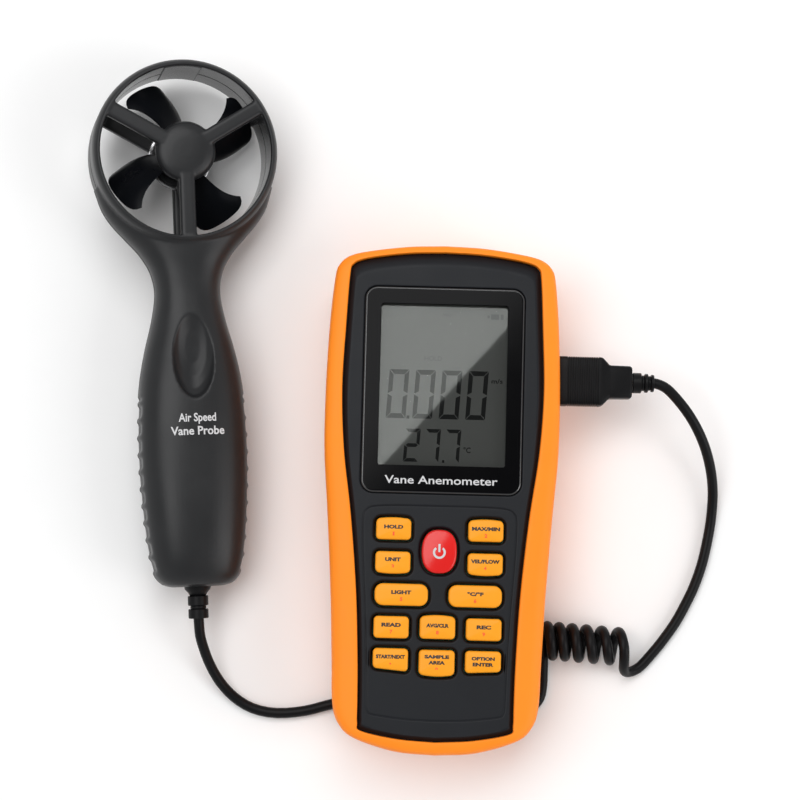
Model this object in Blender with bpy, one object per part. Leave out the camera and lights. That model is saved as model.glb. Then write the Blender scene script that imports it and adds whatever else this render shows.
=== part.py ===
"""Vane anemometer: a hand-held meter in a rubber boot, and a vane probe on a curly cord.

Metres, +Z up. The origin is the middle of the meter's back, which lies on the table (z = 0).
+X is the meter's plug side, +Y its top and +Z the way its display faces.
Lengths below are written in millimetres and scaled once by MM.
"""

import math

import bmesh
import bpy
from mathutils import Matrix, Vector

MM = 0.001
GAP = 0.3  # between pieces that rest on each other

# Meter, in mm. Outlines hold the right half, from the top middle round to the bottom middle.
METER_HALF = (
    (0, 82), (12, 81.5), (24, 79.9), (31, 78.2), (34.6, 75.2), (35.9, 70.5), (37.2, 55), (37.9, 35),
    (37.8, 15), (36.2, -6), (34.6, -30), (33.6, -52), (33, -66), (31, -72.5), (26, -77), (13, -81), (0, -82),
)
FACE_HALF = (
    (0, 79.5), (11, 79.1), (21, 77.9), (27.2, 76.6), (29.9, 75.1), (30.9, 72), (31.8, 55), (32.5, 35),
    (31.4, 15), (28.6, -6), (26.3, -30), (25.2, -52), (24.9, -66), (24.8, -72), (23.6, -74.6), (12, -76.9), (0, -77.7),
)
STEPS_PER_SPAN = 1  # outline points between two of the points above
BOOT_TOP = 34.5
BOOT_WALL = 2.2
BOOT_LIP_UNDER = 31.0
LIP_ROUND = ((0.4, 1.2), (1.3, 0.3))  # how far in and how far below the boot's top
BACK_ROUND = 6.0
CASE_INSET = BOOT_WALL + GAP
CASE_WALL = 2.0
CASE_SHOULDER = 30.7
CASE_SPLIT = 18.0
FACE_TOP = 34.0
FACE_WALL_UNDER = 31.0
FACE_BEVEL = 2.8
HOLLOW_DEPTH = 5.0  # the grip hollow across the back, which leaves room for the cord
HOLLOW_Y = (-73.0, -70.0, -28.0, -16.0)

# Display, in mm.
WINDOW = (51.5, 66.6, 4.0)  # width, height, corner radius
WINDOW_Y = 34.7
WINDOW_Z = (32.6, 34.3)
LCD_Y = 37.8
LCD_VIEW = (45.0, 56.0, 1.0)
LCD_GLASS = (47.0, 58.0, 0.8)
LCD_Z = (28.4, 30.7)
BACKLIGHT = (46.0, 57.0, 0.8)
BACKLIGHT_Z = (26.5, 28.1)

# Keys, in mm: name, centre x and y, width and height, crown of the top and bottom edge, bottom slant.
KEYS = (
    ("key_hold", -14.75, -10.3, 11.2, 6.6, 0.5, 0, 0),
    ("key_max_min", 14.75, -10.3, 11.2, 6.6, 0.5, 0, 0),
    ("key_unit", -14.75, -20.7, 11.2, 6.6, 0, 0.5, 0),
    ("key_vel_flow", 14.75, -20.7, 11.2, 6.6, 0, 0.5, 0),
    ("key_light", -11.8, -31.1, 17.0, 7.0, 0, 0, 0),
    ("key_c_f", 11.8, -31.1, 17.0, 7.0, 0, 0, 0),
    ("key_read", -14.75, -41.5, 11.2, 7.0, 0, 0, 0),
    ("key_avg_clear", 0, -41.4, 11.3, 7.0, 0.6, 0, 0),
    ("key_rec", 14.75, -41.6, 11.3, 7.0, 0, 0, 0),
    ("key_start_next", -14.75, -51.6, 11.2, 6.8, 0, 0, -0.09),
    ("key_sample_area", 0, -52.3, 11.4, 7.8, 0, 0.6, 0),
    ("key_option_enter", 14.75, -51.8, 11.4, 6.8, 0, 0, 0.05),
)
KEY_CORNER = 1.3
WIDE_KEY_CORNER = 2.6
POWER_KEY = (0.0, -17.1, 11.2, 13.9)  # centre x and y, width and height
KEY_Z = (28.0, 30.5, 35.6)  # flange bottom, flange top, crown
KEY_FLANGE = 0.7
KEY_CLEARANCE = 0.5
KEY_ROUND = 0.5
MAT = (48.0, 59.5, 2.0)
MAT_Y = -31.5
MAT_Z = (26.4, 27.7)

# Electronics, battery and fasteners, in mm.
PCB = (53.0, 126.6, 3.0)
PCB_Y = 3.2
PCB_Z = (24.5, 26.1)
BATTERY = (26.5, 46.4, 17.0)
BATTERY_Y = 31.4
BATTERY_Z = 14.6
SNAP = (25.5, 2.9, 15.0)
BAY_INNER = (28.6, 50.5, 1.0)
BAY_OUTER = (35.4, 57.4, 2.0)
BAY_Y = 33.0
BAY_Z = (4.4, 24.2)
BAY_CEILING = 23.3
DOOR = (32.0, 54.0, 2.0)
DOOR_Z = (CASE_INSET, CASE_INSET + 1.8)
BOOT_WINDOW = (40.0, 60.0, 4.0)
CASE_SCREW_XY = ((-25, 70.5), (25, 70.5), (-20, -65.5), (20, -65.5))
BOSS_RADIUS = 3.3
SCREW_HEAD_Z = 12.8

# Socket and plug, in mm.
PLUG_YZ = (40.0, 20.6)
SOCKET = (14.0, 13.4, 6.4)
SOCKET_X = 27.6
SHELL = (11.2, 12.0, 4.5)
SHELL_X = 29.4
OVERMOULD_X = (35.3, 52.3, 54.9, 61.8)
OVERMOULD_WIDTH = (16.0, 10.8)
OVERMOULD_DEPTH = (8.0, 7.2)

# Probe, in mm, in its own frame: origin on the duct's axis, +Z out of its front, -Y down the handle.
DUCT_BORE = 28.0
DUCT_OUTER = 30.5
DUCT_HALF_DEPTH = 12.5
DUCT_SIDES = 44
SHELL_SPLIT = 0.15
PROBE_WALL = 2.2
HANDLE = (  # y, half width, half depth
    (-11, 29.6, 11.5), (-18, 27.3, 11.3), (-23, 24.2, 11.1), (-28, 19.8, 10.9), (-33, 15.4, 10.7), (-39, 12, 10.4),
    (-46, 10.8, 10.3), (-55, 12.2, 10.8), (-65, 14.8, 11.8), (-76, 16.9, 12.9), (-90, 18, 13.6), (-105, 18, 13.8),
    (-120, 17.1, 13.5), (-131, 15.7, 12.6), (-137, 13.8, 11), (-140, 11.2, 9), (-141, 8, 6.6),
)
HANDLE_SIDES = 8  # facets across half of the handle
HANDLE_POWER = 2.5
HUB_RADIUS = 9.3
HUB_Z = (7.6, 12.6)
STRUT_WIDTH = 4.5
STRUT_Z = (8.6, 12.0)
STRUT_ANGLES = (30, 150, 270)
AXLE_RADIUS = 1.0
AXLE_HALF = 10.6
BEARING = (3.0, 1.06, 2.4)  # outer radius, bore radius, thickness
BEARING_Z = 9.4
IMPELLER_HUB = (7.6, 6.6)  # radius, half length
BLADE_TIP = 25.6
BLADE_HALF_THICK = 0.55
BLADE_ANGLES = (30, 120, 210, 300)
BLADE_CHORD = 38.0  # degrees
BLADE_RISE = (6.0, -7.2)  # of the two edges
SENSOR_RING = (9.6, 11.4)
SENSOR_RING_Z = (-8.3, -7.3)
PROBE_SCREWS = ((-52.0, 9.5), (-84.0, 12.2), (-122.0, 12.2))  # y, and how far the boss reaches
PROBE_PCB = (20.0, 26.0, 1.0)
PROBE_PCB_Y = -103.0

# Where the probe lies: the duct's centre, and how the probe is turned.
PROBE_AT = (-88.0, 112.0, 18.02)
PROBE_YAW = 3.8
PROBE_PITCH = 1.9
PROBE_ROLL = 11.5

# Cord, in mm. The routes are read through smoothly.
CORD_RADIUS = 1.7
COIL_RADIUS = 6.5
COIL_ENDS = ((34.4, -44.7, 6.55), (61.3, -46.3, 6.55))
LEFT_ROUTE = (
    (-77.8, -41.3, 12.9), (-77.3, -46.0, 11.8), (-76.0, -50.7, 9.4), (-74.0, -55.8, 6.6), (-70.8, -61.2, 4.1),
    (-66.2, -66.0, 2.5), (-60.0, -69.6, 1.8), (-52.0, -71.0, 1.72), (-42.5, -70.0, 1.72), (-34.3, -67.7, 1.72),
    (-24.0, -65.4, 1.72), (-10.0, -63.8, 1.72), (5.0, -63.8, 1.72), (18.0, -65.5, 1.72), (27.0, -67.4, 1.72),
    (32.2, -66.9, 1.72), (35.0, -63.8, 1.72), (35.8, -59.5, 1.72), (35.9, -55.0, 1.72), (35.9, -51.2, 1.72),
)
RIGHT_ROUTE = (
    (60.2, -55.0, 3.3), (61.4, -55.8, 2.2), (63.6, -53.8, 1.75), (66.5, -50.4, 1.72), (70.8, -46.4, 1.72),
    (75.2, -42.4, 1.72), (79.8, -36.8, 1.72), (83.2, -31.0, 1.72), (85.9, -25.0, 1.72), (88.2, -18.0, 1.72),
    (89.7, -11.2, 1.75), (90.7, -5.0, 2.1), (91.1, 0.5, 3.2), (91.0, 5.5, 5.1), (90.3, 10.3, 7.6),
    (89.0, 15.2, 10.4), (87.1, 20.2, 13.2), (84.5, 25.2, 15.9), (81.3, 30.0, 18.1), (77.6, 34.4, 19.7),
    (73.6, 38.3, 20.5), (70.2, 39.9, 20.6),
)
CORD_STEP = 7.0

NOZZLE = ((4.7, 0), (4.6, 1.4), (2.9, 3.2), (2.9, 4), (3.3, 4.2), (3.3, 7.2), (2.6, 7.5), (2.6, 8.2), (3.3, 8.5),
          (3.3, 11.4), (2.2, 11.5))
NOZZLE_SIDES = 12

COLOURS = {  # slot: base colour, roughness, metallic
    "boot_rubber": ((0.95, 0.32, 0.06), 0.55, 0),
    "case_plastic": ((0.035, 0.04, 0.045), 0.45, 0),
    "window": ((0.02, 0.02, 0.022), 0.08, 0),
    "lcd": ((0.2, 0.2, 0.2), 0.3, 0),
    "backlight": ((0.8, 0.8, 0.75), 0.5, 0),
    "key_rubber": ((0.92, 0.42, 0.07), 0.5, 0),
    "power_key": ((0.8, 0.03, 0.02), 0.35, 0),
    "mat_rubber": ((0.12, 0.12, 0.12), 0.7, 0),
    "circuit_board": ((0.02, 0.18, 0.08), 0.5, 0),
    "chip": ((0.02, 0.02, 0.02), 0.5, 0),
    "metal": ((0.7, 0.7, 0.68), 0.3, 1),
    "battery": ((0.1, 0.1, 0.12), 0.4, 0),
    "probe_plastic": ((0.05, 0.052, 0.056), 0.4, 0),
    "impeller": ((0.012, 0.012, 0.014), 0.35, 0),
    "sensor_ring": ((0.6, 0.6, 0.6), 0.3, 0),
    "cord": ((0.015, 0.015, 0.015), 0.5, 0),
    "insert": ((0.85, 0.85, 0.85), 0.5, 0),
}


# ---------------------------------------------------------------- helpers

def clear_scene():
    for item in list(bpy.data.objects):
        bpy.data.objects.remove(item, do_unlink=True)


def material(slot):
    found = bpy.data.materials.get(slot)
    if found:
        return found
    colour, roughness, metallic = COLOURS[slot]
    made = bpy.data.materials.new(slot)
    made.use_nodes = True
    shader = made.node_tree.nodes["Principled BSDF"]
    shader.inputs["Base Color"].default_value = (*colour, 1)
    shader.inputs["Roughness"].default_value = roughness
    shader.inputs["Metallic"].default_value = metallic
    return made


def new_object(name, bm, slot=None):
    """An object from a mesh in millimetres, its faces flat and pointing out."""
    bmesh.ops.connect_verts_nonplanar(bm, angle_limit=0.0002, faces=bm.faces)
    bmesh.ops.recalc_face_normals(bm, faces=bm.faces)
    bmesh.ops.scale(bm, vec=(MM, MM, MM), verts=bm.verts)
    mesh = bpy.data.meshes.new(name)
    bm.to_mesh(mesh)
    bm.free()
    made = bpy.data.objects.new(name, mesh)
    bpy.context.collection.objects.link(made)
    if slot:
        mesh.materials.append(material(slot))
        mesh.shade_smooth()
        mesh.set_sharp_from_angle(angle=math.radians(35))
    return made


def combine(target, tool, operation):
    """Applies a Boolean to the target and removes the tool."""
    modifier = target.modifiers.new(operation, "BOOLEAN")
    modifier.operation = operation
    modifier.object = tool
    graph = bpy.context.evaluated_depsgraph_get()
    mesh = bpy.data.meshes.new_from_object(target.evaluated_get(graph))
    target.modifiers.clear()
    old = target.data
    target.data = mesh
    bpy.data.meshes.remove(old)
    bpy.data.objects.remove(tool, do_unlink=True)
    mesh.shade_smooth()
    mesh.set_sharp_from_angle(angle=math.radians(35))


def cut(target, *tools):
    for tool in tools:
        combine(target, tool, "DIFFERENCE")


def join(target, *tools):
    for tool in tools:
        combine(target, tool, "UNION")


def loft(rings, closed=False):
    """A closed mesh through rings of equal length: capped at both ends, or with its ends joined."""
    bm = bmesh.new()
    loops = [[bm.verts.new(point) for point in ring] for ring in rings]
    pairs = list(zip(loops, loops[1:]))
    if closed:
        pairs.append((loops[-1], loops[0]))
    else:
        bm.faces.new(loops[0])
        bm.faces.new(loops[-1])
    for low, high in pairs:
        for i in range(len(low)):
            j = (i + 1) % len(low)
            bm.faces.new((low[i], low[j], high[j], high[i]))
    return bm


def smooth_path(points, steps):
    """Points of a Catmull-Rom curve through the given ones, with that many steps to a span."""
    line = [Vector(p) for p in points]
    padded = [2 * line[0] - line[1], *line, 2 * line[-1] - line[-2]]
    found = []
    for a, b, c, d in zip(padded, padded[1:], padded[2:], padded[3:]):
        for k in range(steps):
            t = k / steps
            found.append(
                0.5 * (2 * b + (c - a) * t + (2 * a - 5 * b + 4 * c - d) * t * t
                       + (3 * b - 3 * c + d - a) * t ** 3)
            )
    found.append(line[-1])
    return found


def outline(half):
    """A closed outline, counter-clockwise from the top middle, from its right half."""
    right = smooth_path([(x, y, 0) for x, y in half], STEPS_PER_SPAN)
    left = [Vector((-p.x, p.y, 0)) for p in right[1:-1]]
    return left + [right[-1]] + right[-2:0:-1] + [right[0]]


def inset(points, distance):
    """The outline drawn in by a distance at its widest and at its ends, and in proportion between."""
    wide = max(p.x for p in points)
    low = min(p.y for p in points)
    high = max(p.y for p in points)
    middle = (low + high) / 2
    shrink_x = 1 - distance / wide
    shrink_y = 1 - distance / (high - middle)
    return [Vector((p.x * shrink_x, middle + (p.y - middle) * shrink_y, 0)) for p in points]


def at_height(points, z):
    return [(p[0], p[1], z) for p in points]


def rounded_rectangle(width, height, corner, centre=(0, 0), corner_steps=3):
    points = []
    for quarter in range(4):
        sx = 1 if quarter in (0, 3) else -1
        sy = 1 if quarter in (0, 1) else -1
        for k in range(corner_steps + 1):
            angle = math.radians(90 * (quarter + k / corner_steps))
            points.append(Vector((
                centre[0] + sx * (width / 2 - corner) + corner * math.cos(angle),
                centre[1] + sy * (height / 2 - corner) + corner * math.sin(angle), 0)))
    return points


def circle(radius, sides, centre=(0, 0)):
    step = 2 * math.pi / sides
    return [Vector((centre[0] + radius * math.cos(k * step), centre[1] + radius * math.sin(k * step), 0))
            for k in range(sides)]


def prism(name, points, z_low, z_high, slot=None):
    return new_object(name, loft([at_height(points, z_low), at_height(points, z_high)]), slot)


def plate(name, size, centre, z_span, slot=None, corner_steps=3):
    width, height, corner = size
    return prism(name, rounded_rectangle(width, height, corner, centre, corner_steps), *z_span, slot)


def block(name, size, centre, slot=None):
    half = [s / 2 for s in size]
    corners = [(-half[0], -half[1]), (half[0], -half[1]), (half[0], half[1]), (-half[0], half[1])]
    rings = [[(centre[0] + x, centre[1] + y, centre[2] + z) for x, y in corners] for z in (-half[2], half[2])]
    return new_object(name, loft(rings), slot)


def drum(name, radius, z_low, z_high, sides, slot=None, centre=(0, 0)):
    return prism(name, circle(radius, sides, centre), z_low, z_high, slot)


def turned(name, profile, sides, slot=None, bore=None):
    """A solid turned about Z from (radius, z) points, with a straight bore if one is given."""
    rings = [at_height(circle(radius, sides), z) for radius, z in profile]
    if bore is None:
        return new_object(name, loft(rings), slot)
    rings.append(at_height(circle(bore, sides), profile[-1][1]))
    rings.append(at_height(circle(bore, sides), profile[0][1]))
    return new_object(name, loft(rings, closed=True), slot)


# ---------------------------------------------------------------- meter

METER = outline(METER_HALF)
FACE = outline(FACE_HALF)
COMMON_LENGTH = 60  # longer than any cut needs


def hollow(extra):
    """The cutter for the grip hollow across the back, grown by a wall's thickness."""
    low, low_top, high_top, high = HOLLOW_Y
    top = HOLLOW_DEPTH + extra
    profile = [(low - extra, -9), (low - extra, extra), (low_top - extra, top), (high_top + extra, top),
               (high + extra, extra), (high + extra, -9)]
    rings = [[(x, y, z) for y, z in profile] for x in (-COMMON_LENGTH, COMMON_LENGTH)]
    return new_object("hollow", loft(rings))


def body_rings(wall, z_top):
    """The meter's outside, moved in by a wall's thickness, from its rounded back up to a height."""
    rings = []
    round_left = BACK_ROUND - wall if wall < BACK_ROUND - 2 else 2.0
    for angle in (90, 60, 30, 0):
        inward = round_left * (1 - math.cos(math.radians(angle)))
        rise = round_left * (1 - math.sin(math.radians(angle)))
        rings.append(at_height(inset(METER, wall + inward), wall + rise))
    rings.append(at_height(inset(METER, wall), z_top))
    return rings


def usb_opening(name, width, depth):
    return block(name, (30, width, depth), (SOCKET_X + 18.4, *PLUG_YZ))


def make_boot():
    rings = body_rings(0, BOOT_TOP - 2.6)
    for inward, drop in LIP_ROUND:
        rings.append(at_height(inset(METER, inward), BOOT_TOP - drop))
    rings.append(at_height(inset(FACE, -0.4), BOOT_TOP))
    boot = new_object("boot", loft(rings), "boot_rubber")
    cut(boot, hollow(0))
    inside = new_object("inside", loft(body_rings(BOOT_WALL, BOOT_LIP_UNDER)))
    cut(inside, hollow(BOOT_WALL))
    join(inside, prism("front_opening", FACE, BOOT_LIP_UNDER - 1, BOOT_TOP + 1))
    join(inside, plate("back_window", BOOT_WINDOW, (0, BAY_Y), (-1, BOOT_WALL + 1)))
    cut(boot, inside)
    cut(boot, usb_opening("usb_cut", 17.2, 9.0))
    return boot


def case_cavity():
    wall = CASE_INSET + CASE_WALL
    cavity = new_object("cavity", loft(body_rings(wall, CASE_SHOULDER - CASE_WALL)))
    cut(cavity, hollow(wall))
    under_face = inset(FACE, CASE_WALL + 0.4)
    join(cavity, prism("under_face", under_face, CASE_SPLIT, FACE_WALL_UNDER))
    return cavity


def key_outline(key, grow=0.0):
    """A key's outline: a rounded rectangle with crowned or slanting edges, grown by a clearance."""
    _, x, y, width, height, top_crown, bottom_crown, slant = key
    corner = (WIDE_KEY_CORNER if width > 15 else KEY_CORNER) + grow
    points = rounded_rectangle(width + 2 * grow, height + 2 * grow, corner, (0, 0), 2)
    shaped = []
    half = width / 2 + grow
    for point in points + [Vector((0, height / 2 + grow, 0)), Vector((0, -height / 2 - grow, 0))]:
        crown = 1 - (point.x / half) ** 2
        if point.y > 0:
            rise = top_crown * crown
        else:
            rise = slant * point.x - bottom_crown * crown
        shaped.append(Vector((x + point.x, y + point.y + rise, 0)))
    middle_top, middle_bottom = shaped[-2:]
    return shaped[:3] + [middle_top] + shaped[3:9] + [middle_bottom] + shaped[9:12]


def oval(grow=0.0):
    """The power key's outline: straight-sided, with nearly half-round ends."""
    x, y, width, height = POWER_KEY
    points = []
    for k in range(20):
        angle = math.radians(18 * k)
        cos, sin = math.cos(angle), math.sin(angle)
        points.append(Vector((
            x + (width / 2 + grow) * math.copysign(abs(cos) ** 0.78, cos),
            y + (height / 2 + grow) * math.copysign(abs(sin) ** 0.86, sin), 0)))
    return points


def key_solid(name, outline_of, slot):
    bottom, flange_top, crown = KEY_Z
    rings = [
        at_height(outline_of(KEY_FLANGE), bottom),
        at_height(outline_of(KEY_FLANGE), flange_top),
        at_height(outline_of(0), flange_top),
        at_height(outline_of(0), crown - KEY_ROUND),
        at_height(outline_of(-KEY_ROUND), crown),
    ]
    return new_object(name, loft(rings), slot)


def key_outlines():
    """Each key's name, slot and outline function."""
    found = [(key[0], "key_rubber", lambda grow, key=key: key_outline(key, grow)) for key in KEYS]
    found.append(("key_power", "power_key", oval))
    return found


def make_front_case():
    side = inset(METER, CASE_INSET)
    plateau = inset(FACE, 0.4)
    rings = [
        at_height(side, CASE_SPLIT),
        at_height(side, CASE_SHOULDER),
        at_height(plateau, CASE_SHOULDER),
        at_height(plateau, FACE_TOP - 1.6),
        at_height(inset(FACE, 0.4 + FACE_BEVEL), FACE_TOP),
    ]
    front = new_object("front_case", loft(rings), "case_plastic")
    cut(front, case_cavity())
    for x, y in CASE_SCREW_XY:
        join(front, drum("boss", BOSS_RADIUS, CASE_SPLIT, FACE_WALL_UNDER + 0.5, 12, centre=(x, y)))
        cut(front, drum("pilot", 1.6, CASE_SPLIT - 1, 26, 10, centre=(x, y)))
    window_width, window_height, corner = WINDOW
    grown = (window_width + 2 * GAP, window_height + 2 * GAP, corner + GAP)
    cut(front, plate("recess", grown, (0, WINDOW_Y), (WINDOW_Z[0] - GAP, 40)))
    cut(front, plate("view", LCD_VIEW, (0, LCD_Y), (20, 40)))
    for _, _, outline_of in key_outlines():
        cut(front, prism("key_hole", outline_of(KEY_CLEARANCE), 29, 40))
    cut(front, usb_opening("usb_cut", 16.6, 8.6))
    return front


def make_rear_case():
    rear = new_object("rear_case", loft(body_rings(CASE_INSET, CASE_SPLIT - GAP)), "case_plastic")
    cut(rear, hollow(CASE_INSET))
    cut(rear, case_cavity())
    join(rear, plate("bay", BAY_OUTER, (0, BAY_Y), BAY_Z))
    cut(rear, plate("bay_space", BAY_INNER, (0, BAY_Y), (0, BAY_CEILING)))
    grown = (DOOR[0] + 2 * GAP, DOOR[1] + 2 * GAP, DOOR[2])
    cut(rear, plate("door_recess", grown, (0, BAY_Y), (0, DOOR_Z[1] + GAP)))
    for x, y in CASE_SCREW_XY:
        low = 4.0 if y > 0 else HOLLOW_DEPTH + CASE_INSET + 0.5
        join(rear, drum("boss", BOSS_RADIUS, low, CASE_SPLIT - GAP, 12, centre=(x, y)))
        cut(rear, drum("counterbore", 2.6, -1, SCREW_HEAD_Z, 12, centre=(x, y)))
        cut(rear, drum("clearance", 1.6, 5, 20, 10, centre=(x, y)))
    cut(rear, usb_opening("usb_cut", 16.6, 8.6))
    return rear


def make_display():
    plate("lcd_window", WINDOW, (0, WINDOW_Y), WINDOW_Z, "window", 4)
    plate("lcd_panel", LCD_GLASS, (0, LCD_Y), LCD_Z, "lcd", 1)
    plate("lcd_backlight", BACKLIGHT, (0, LCD_Y), BACKLIGHT_Z, "backlight", 1)


def make_keypad():
    mat = plate("keypad_mat", MAT, (0, MAT_Y), MAT_Z, "mat_rubber", 2)
    for name, slot, outline_of in key_outlines():
        key_solid(name, outline_of, slot)
        cut(mat, prism("mat_hole", outline_of(KEY_FLANGE + 0.35), MAT_Z[0] - 1, MAT_Z[1] + 1))


def make_electronics():
    plate("main_pcb", PCB, (0, PCB_Y), PCB_Z, "circuit_board", 2)
    block("main_chip", (12, 12, 1.5), (0, -20, PCB_Z[0] - GAP - 0.75), "chip")
    drum("buzzer", 6, PCB_Z[0] - GAP - 3, PCB_Z[0] - GAP, 20, "chip", (0, -45))
    block("battery_9v", BATTERY, (0, BATTERY_Y, BATTERY_Z), "battery")
    snap_y = BATTERY_Y + BATTERY[1] / 2 + GAP + SNAP[1] / 2
    block("battery_snap", SNAP, (0, snap_y, BATTERY_Z), "chip")
    plate("battery_door", DOOR, (0, BAY_Y), DOOR_Z, "case_plastic")


def screw(name, head_radius, head_z, shank_radius, tip_z, centre):
    profile = [(head_radius, head_z[0]), (head_radius, head_z[1]), (shank_radius, head_z[1]), (shank_radius, tip_z)]
    made = turned(name, profile, 10, "metal")
    made.data.transform(Matrix.Translation(Vector((*centre, 0)) * MM))
    return made


def make_case_screws():
    for number, centre in enumerate(CASE_SCREW_XY, 1):
        screw(f"case_screw_{number}", 2.2, (SCREW_HEAD_Z - 2, SCREW_HEAD_Z - GAP), 1.2, 25, centre)


def make_socket_and_plug():
    y, z = PLUG_YZ
    socket = block("usb_socket", SOCKET, (SOCKET_X, y, z), "metal")
    cut(socket, block("mouth", (SOCKET[0], SHELL[1] + 0.6, SHELL[2] + 0.6), (SOCKET_X + 1.2, y, z)))
    block("usb_tongue", (9.5, 10.6, 1.4), (SOCKET_X - SOCKET[0] / 2 + 1.2 + GAP + 4.75, y, z - 0.95), "insert")

    shell = block("plug_shell", SHELL, (SHELL_X, y, z), "metal")
    cut(shell, block("shell_inside", (SHELL[0] + 1, SHELL[1] - 0.7, SHELL[2] - 0.7), (SHELL_X, y, z)))
    block("plug_insert", (10, 10.6, 1.5), (SHELL_X + 0.4, y, z + 0.85), "insert")

    rings = []
    front, shoulder, waist, back = OVERMOULD_X
    wide, narrow = OVERMOULD_WIDTH
    thick, thin = OVERMOULD_DEPTH
    for x, width, depth in ((front, wide, thick), (shoulder, wide - 0.3, thick), (waist, narrow, thin),
                            (back - 0.6, narrow, thin), (back, narrow - 1.2, thin - 1.2)):
        section = rounded_rectangle(width, depth, 1.2, (0, 0), 2)
        rings.append([(x, y + p.x, z + p.y) for p in section])
    new_object("plug_overmould", loft(rings), "cord")

    relief = turned("plug_relief", [(3.4, 0), (3.3, 2.8), (2.6, 3), (2.6, 3.8), (3.1, 4), (3.1, 5), (2.4, 5.2),
                                    (2.4, 5.9), (2.9, 6.1), (2.9, 7), (2.1, 7.1)], NOZZLE_SIDES, "cord")
    place = Matrix.Translation(Vector((back + GAP, y, z)) * MM) @ Matrix.Rotation(math.radians(90), 4, "Y")
    relief.data.transform(place)


# ---------------------------------------------------------------- probe

def handle_rings(wall, front, y_from=None, y_to=None):
    """Half sections of the handle, front or rear, moved in by a wall's thickness."""
    side = 1 if front else -1
    rings = []
    stations = [s for s in HANDLE if (y_from is None or s[0] <= y_from) and (y_to is None or s[0] >= y_to)]
    for y, half_width, half_depth in stations:
        ring = []
        for k in range(HANDLE_SIDES + 1):
            angle = math.pi * k / HANDLE_SIDES
            cos, sin = math.cos(angle), math.sin(angle)
            x = (half_width - wall) * math.copysign(abs(cos) ** (2 / HANDLE_POWER), cos)
            z = (half_depth - wall) * abs(sin) ** (2 / HANDLE_POWER)
            ring.append((x, y, side * (SHELL_SPLIT + z * (1 - SHELL_SPLIT / (half_depth - wall)))))
        rings.append(ring)
    return rings


def duct_half(name, front):
    """Half of the duct's wall, with rounded rims, still solid."""
    profile = [(DUCT_OUTER, SHELL_SPLIT), (DUCT_OUTER, 9.0), (DUCT_OUTER - 0.6, 11.2), (DUCT_OUTER - 2, DUCT_HALF_DEPTH)]
    made = turned(name, profile, DUCT_SIDES, "probe_plastic")
    if not front:
        made.data.transform(Matrix.Scale(-1, 4, (0, 0, 1)))
        made.data.flip_normals()
    return made


def mirror_z(z_low, z_high, front):
    return (z_low, z_high) if front else (-z_high, -z_low)


def make_probe_shell(front):
    shell = duct_half("probe_front_shell" if front else "probe_rear_shell", front)
    join(shell, new_object("grip", loft(handle_rings(0, front))))
    cut(shell, drum("bore", DUCT_BORE, -15, 15, DUCT_SIDES))
    cavity = handle_rings(PROBE_WALL, front, -33, -137)
    over = 2 if front else -2
    cavity = [[(x, y, z) if 0 < k < HANDLE_SIDES else (x, y, z - over) for k, (x, y, z) in enumerate(ring)]
              for ring in cavity]
    cut(shell, new_object("cavity", loft(cavity)))
    for angle in STRUT_ANGLES:
        length = DUCT_BORE + 1.0 - HUB_RADIUS + 3
        middle = HUB_RADIUS - 3 + length / 2
        z_low, z_high = mirror_z(*STRUT_Z, front)
        strut = block("strut", (length, STRUT_WIDTH, z_high - z_low), (middle, 0, (z_low + z_high) / 2))
        strut.data.transform(Matrix.Rotation(math.radians(angle), 4, "Z"))
        join(shell, strut)
    join(shell, make_hub(front))
    pocket = mirror_z(HUB_Z[0] - 1, BEARING_Z + BEARING[2] / 2 + GAP, front)
    cut(shell, drum("pocket", BEARING[0] + 0.25, *pocket, 20))
    for y, reach in PROBE_SCREWS:
        add_boss(shell, y, reach, front)
    cut(shell, drum_along_y("cord_hole", 2.3, -145, -130))
    return shell


def make_hub(front):
    low, high = HUB_Z
    profile = [(HUB_RADIUS, low), (HUB_RADIUS, high - 1.0), (HUB_RADIUS - 0.8, high - 0.3), (4, high)]
    hub = turned("hub", profile, 24)
    if not front:
        hub.data.transform(Matrix.Scale(-1, 4, (0, 0, 1)))
        hub.data.flip_normals()
    return hub


def add_boss(shell, y, reach, front):
    if front:
        join(shell, drum("boss", 2.7, SHELL_SPLIT, reach, 12, centre=(0, y)))
        cut(shell, drum("pilot", 1.4, -1, 6, 10, centre=(0, y)))
        return
    join(shell, drum("boss", 3.2, -reach, -SHELL_SPLIT, 12, centre=(0, y)))
    cut(shell, drum("counterbore", 2.5, -20, -5, 12, centre=(0, y)))
    cut(shell, drum("clearance", 1.4, -8, 1, 10, centre=(0, y)))


def drum_along_y(name, radius, y_low, y_high):
    made = drum(name, radius, y_low, y_high, 12)
    made.data.transform(Matrix.Rotation(math.radians(-90), 4, "X"))
    return made


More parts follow.
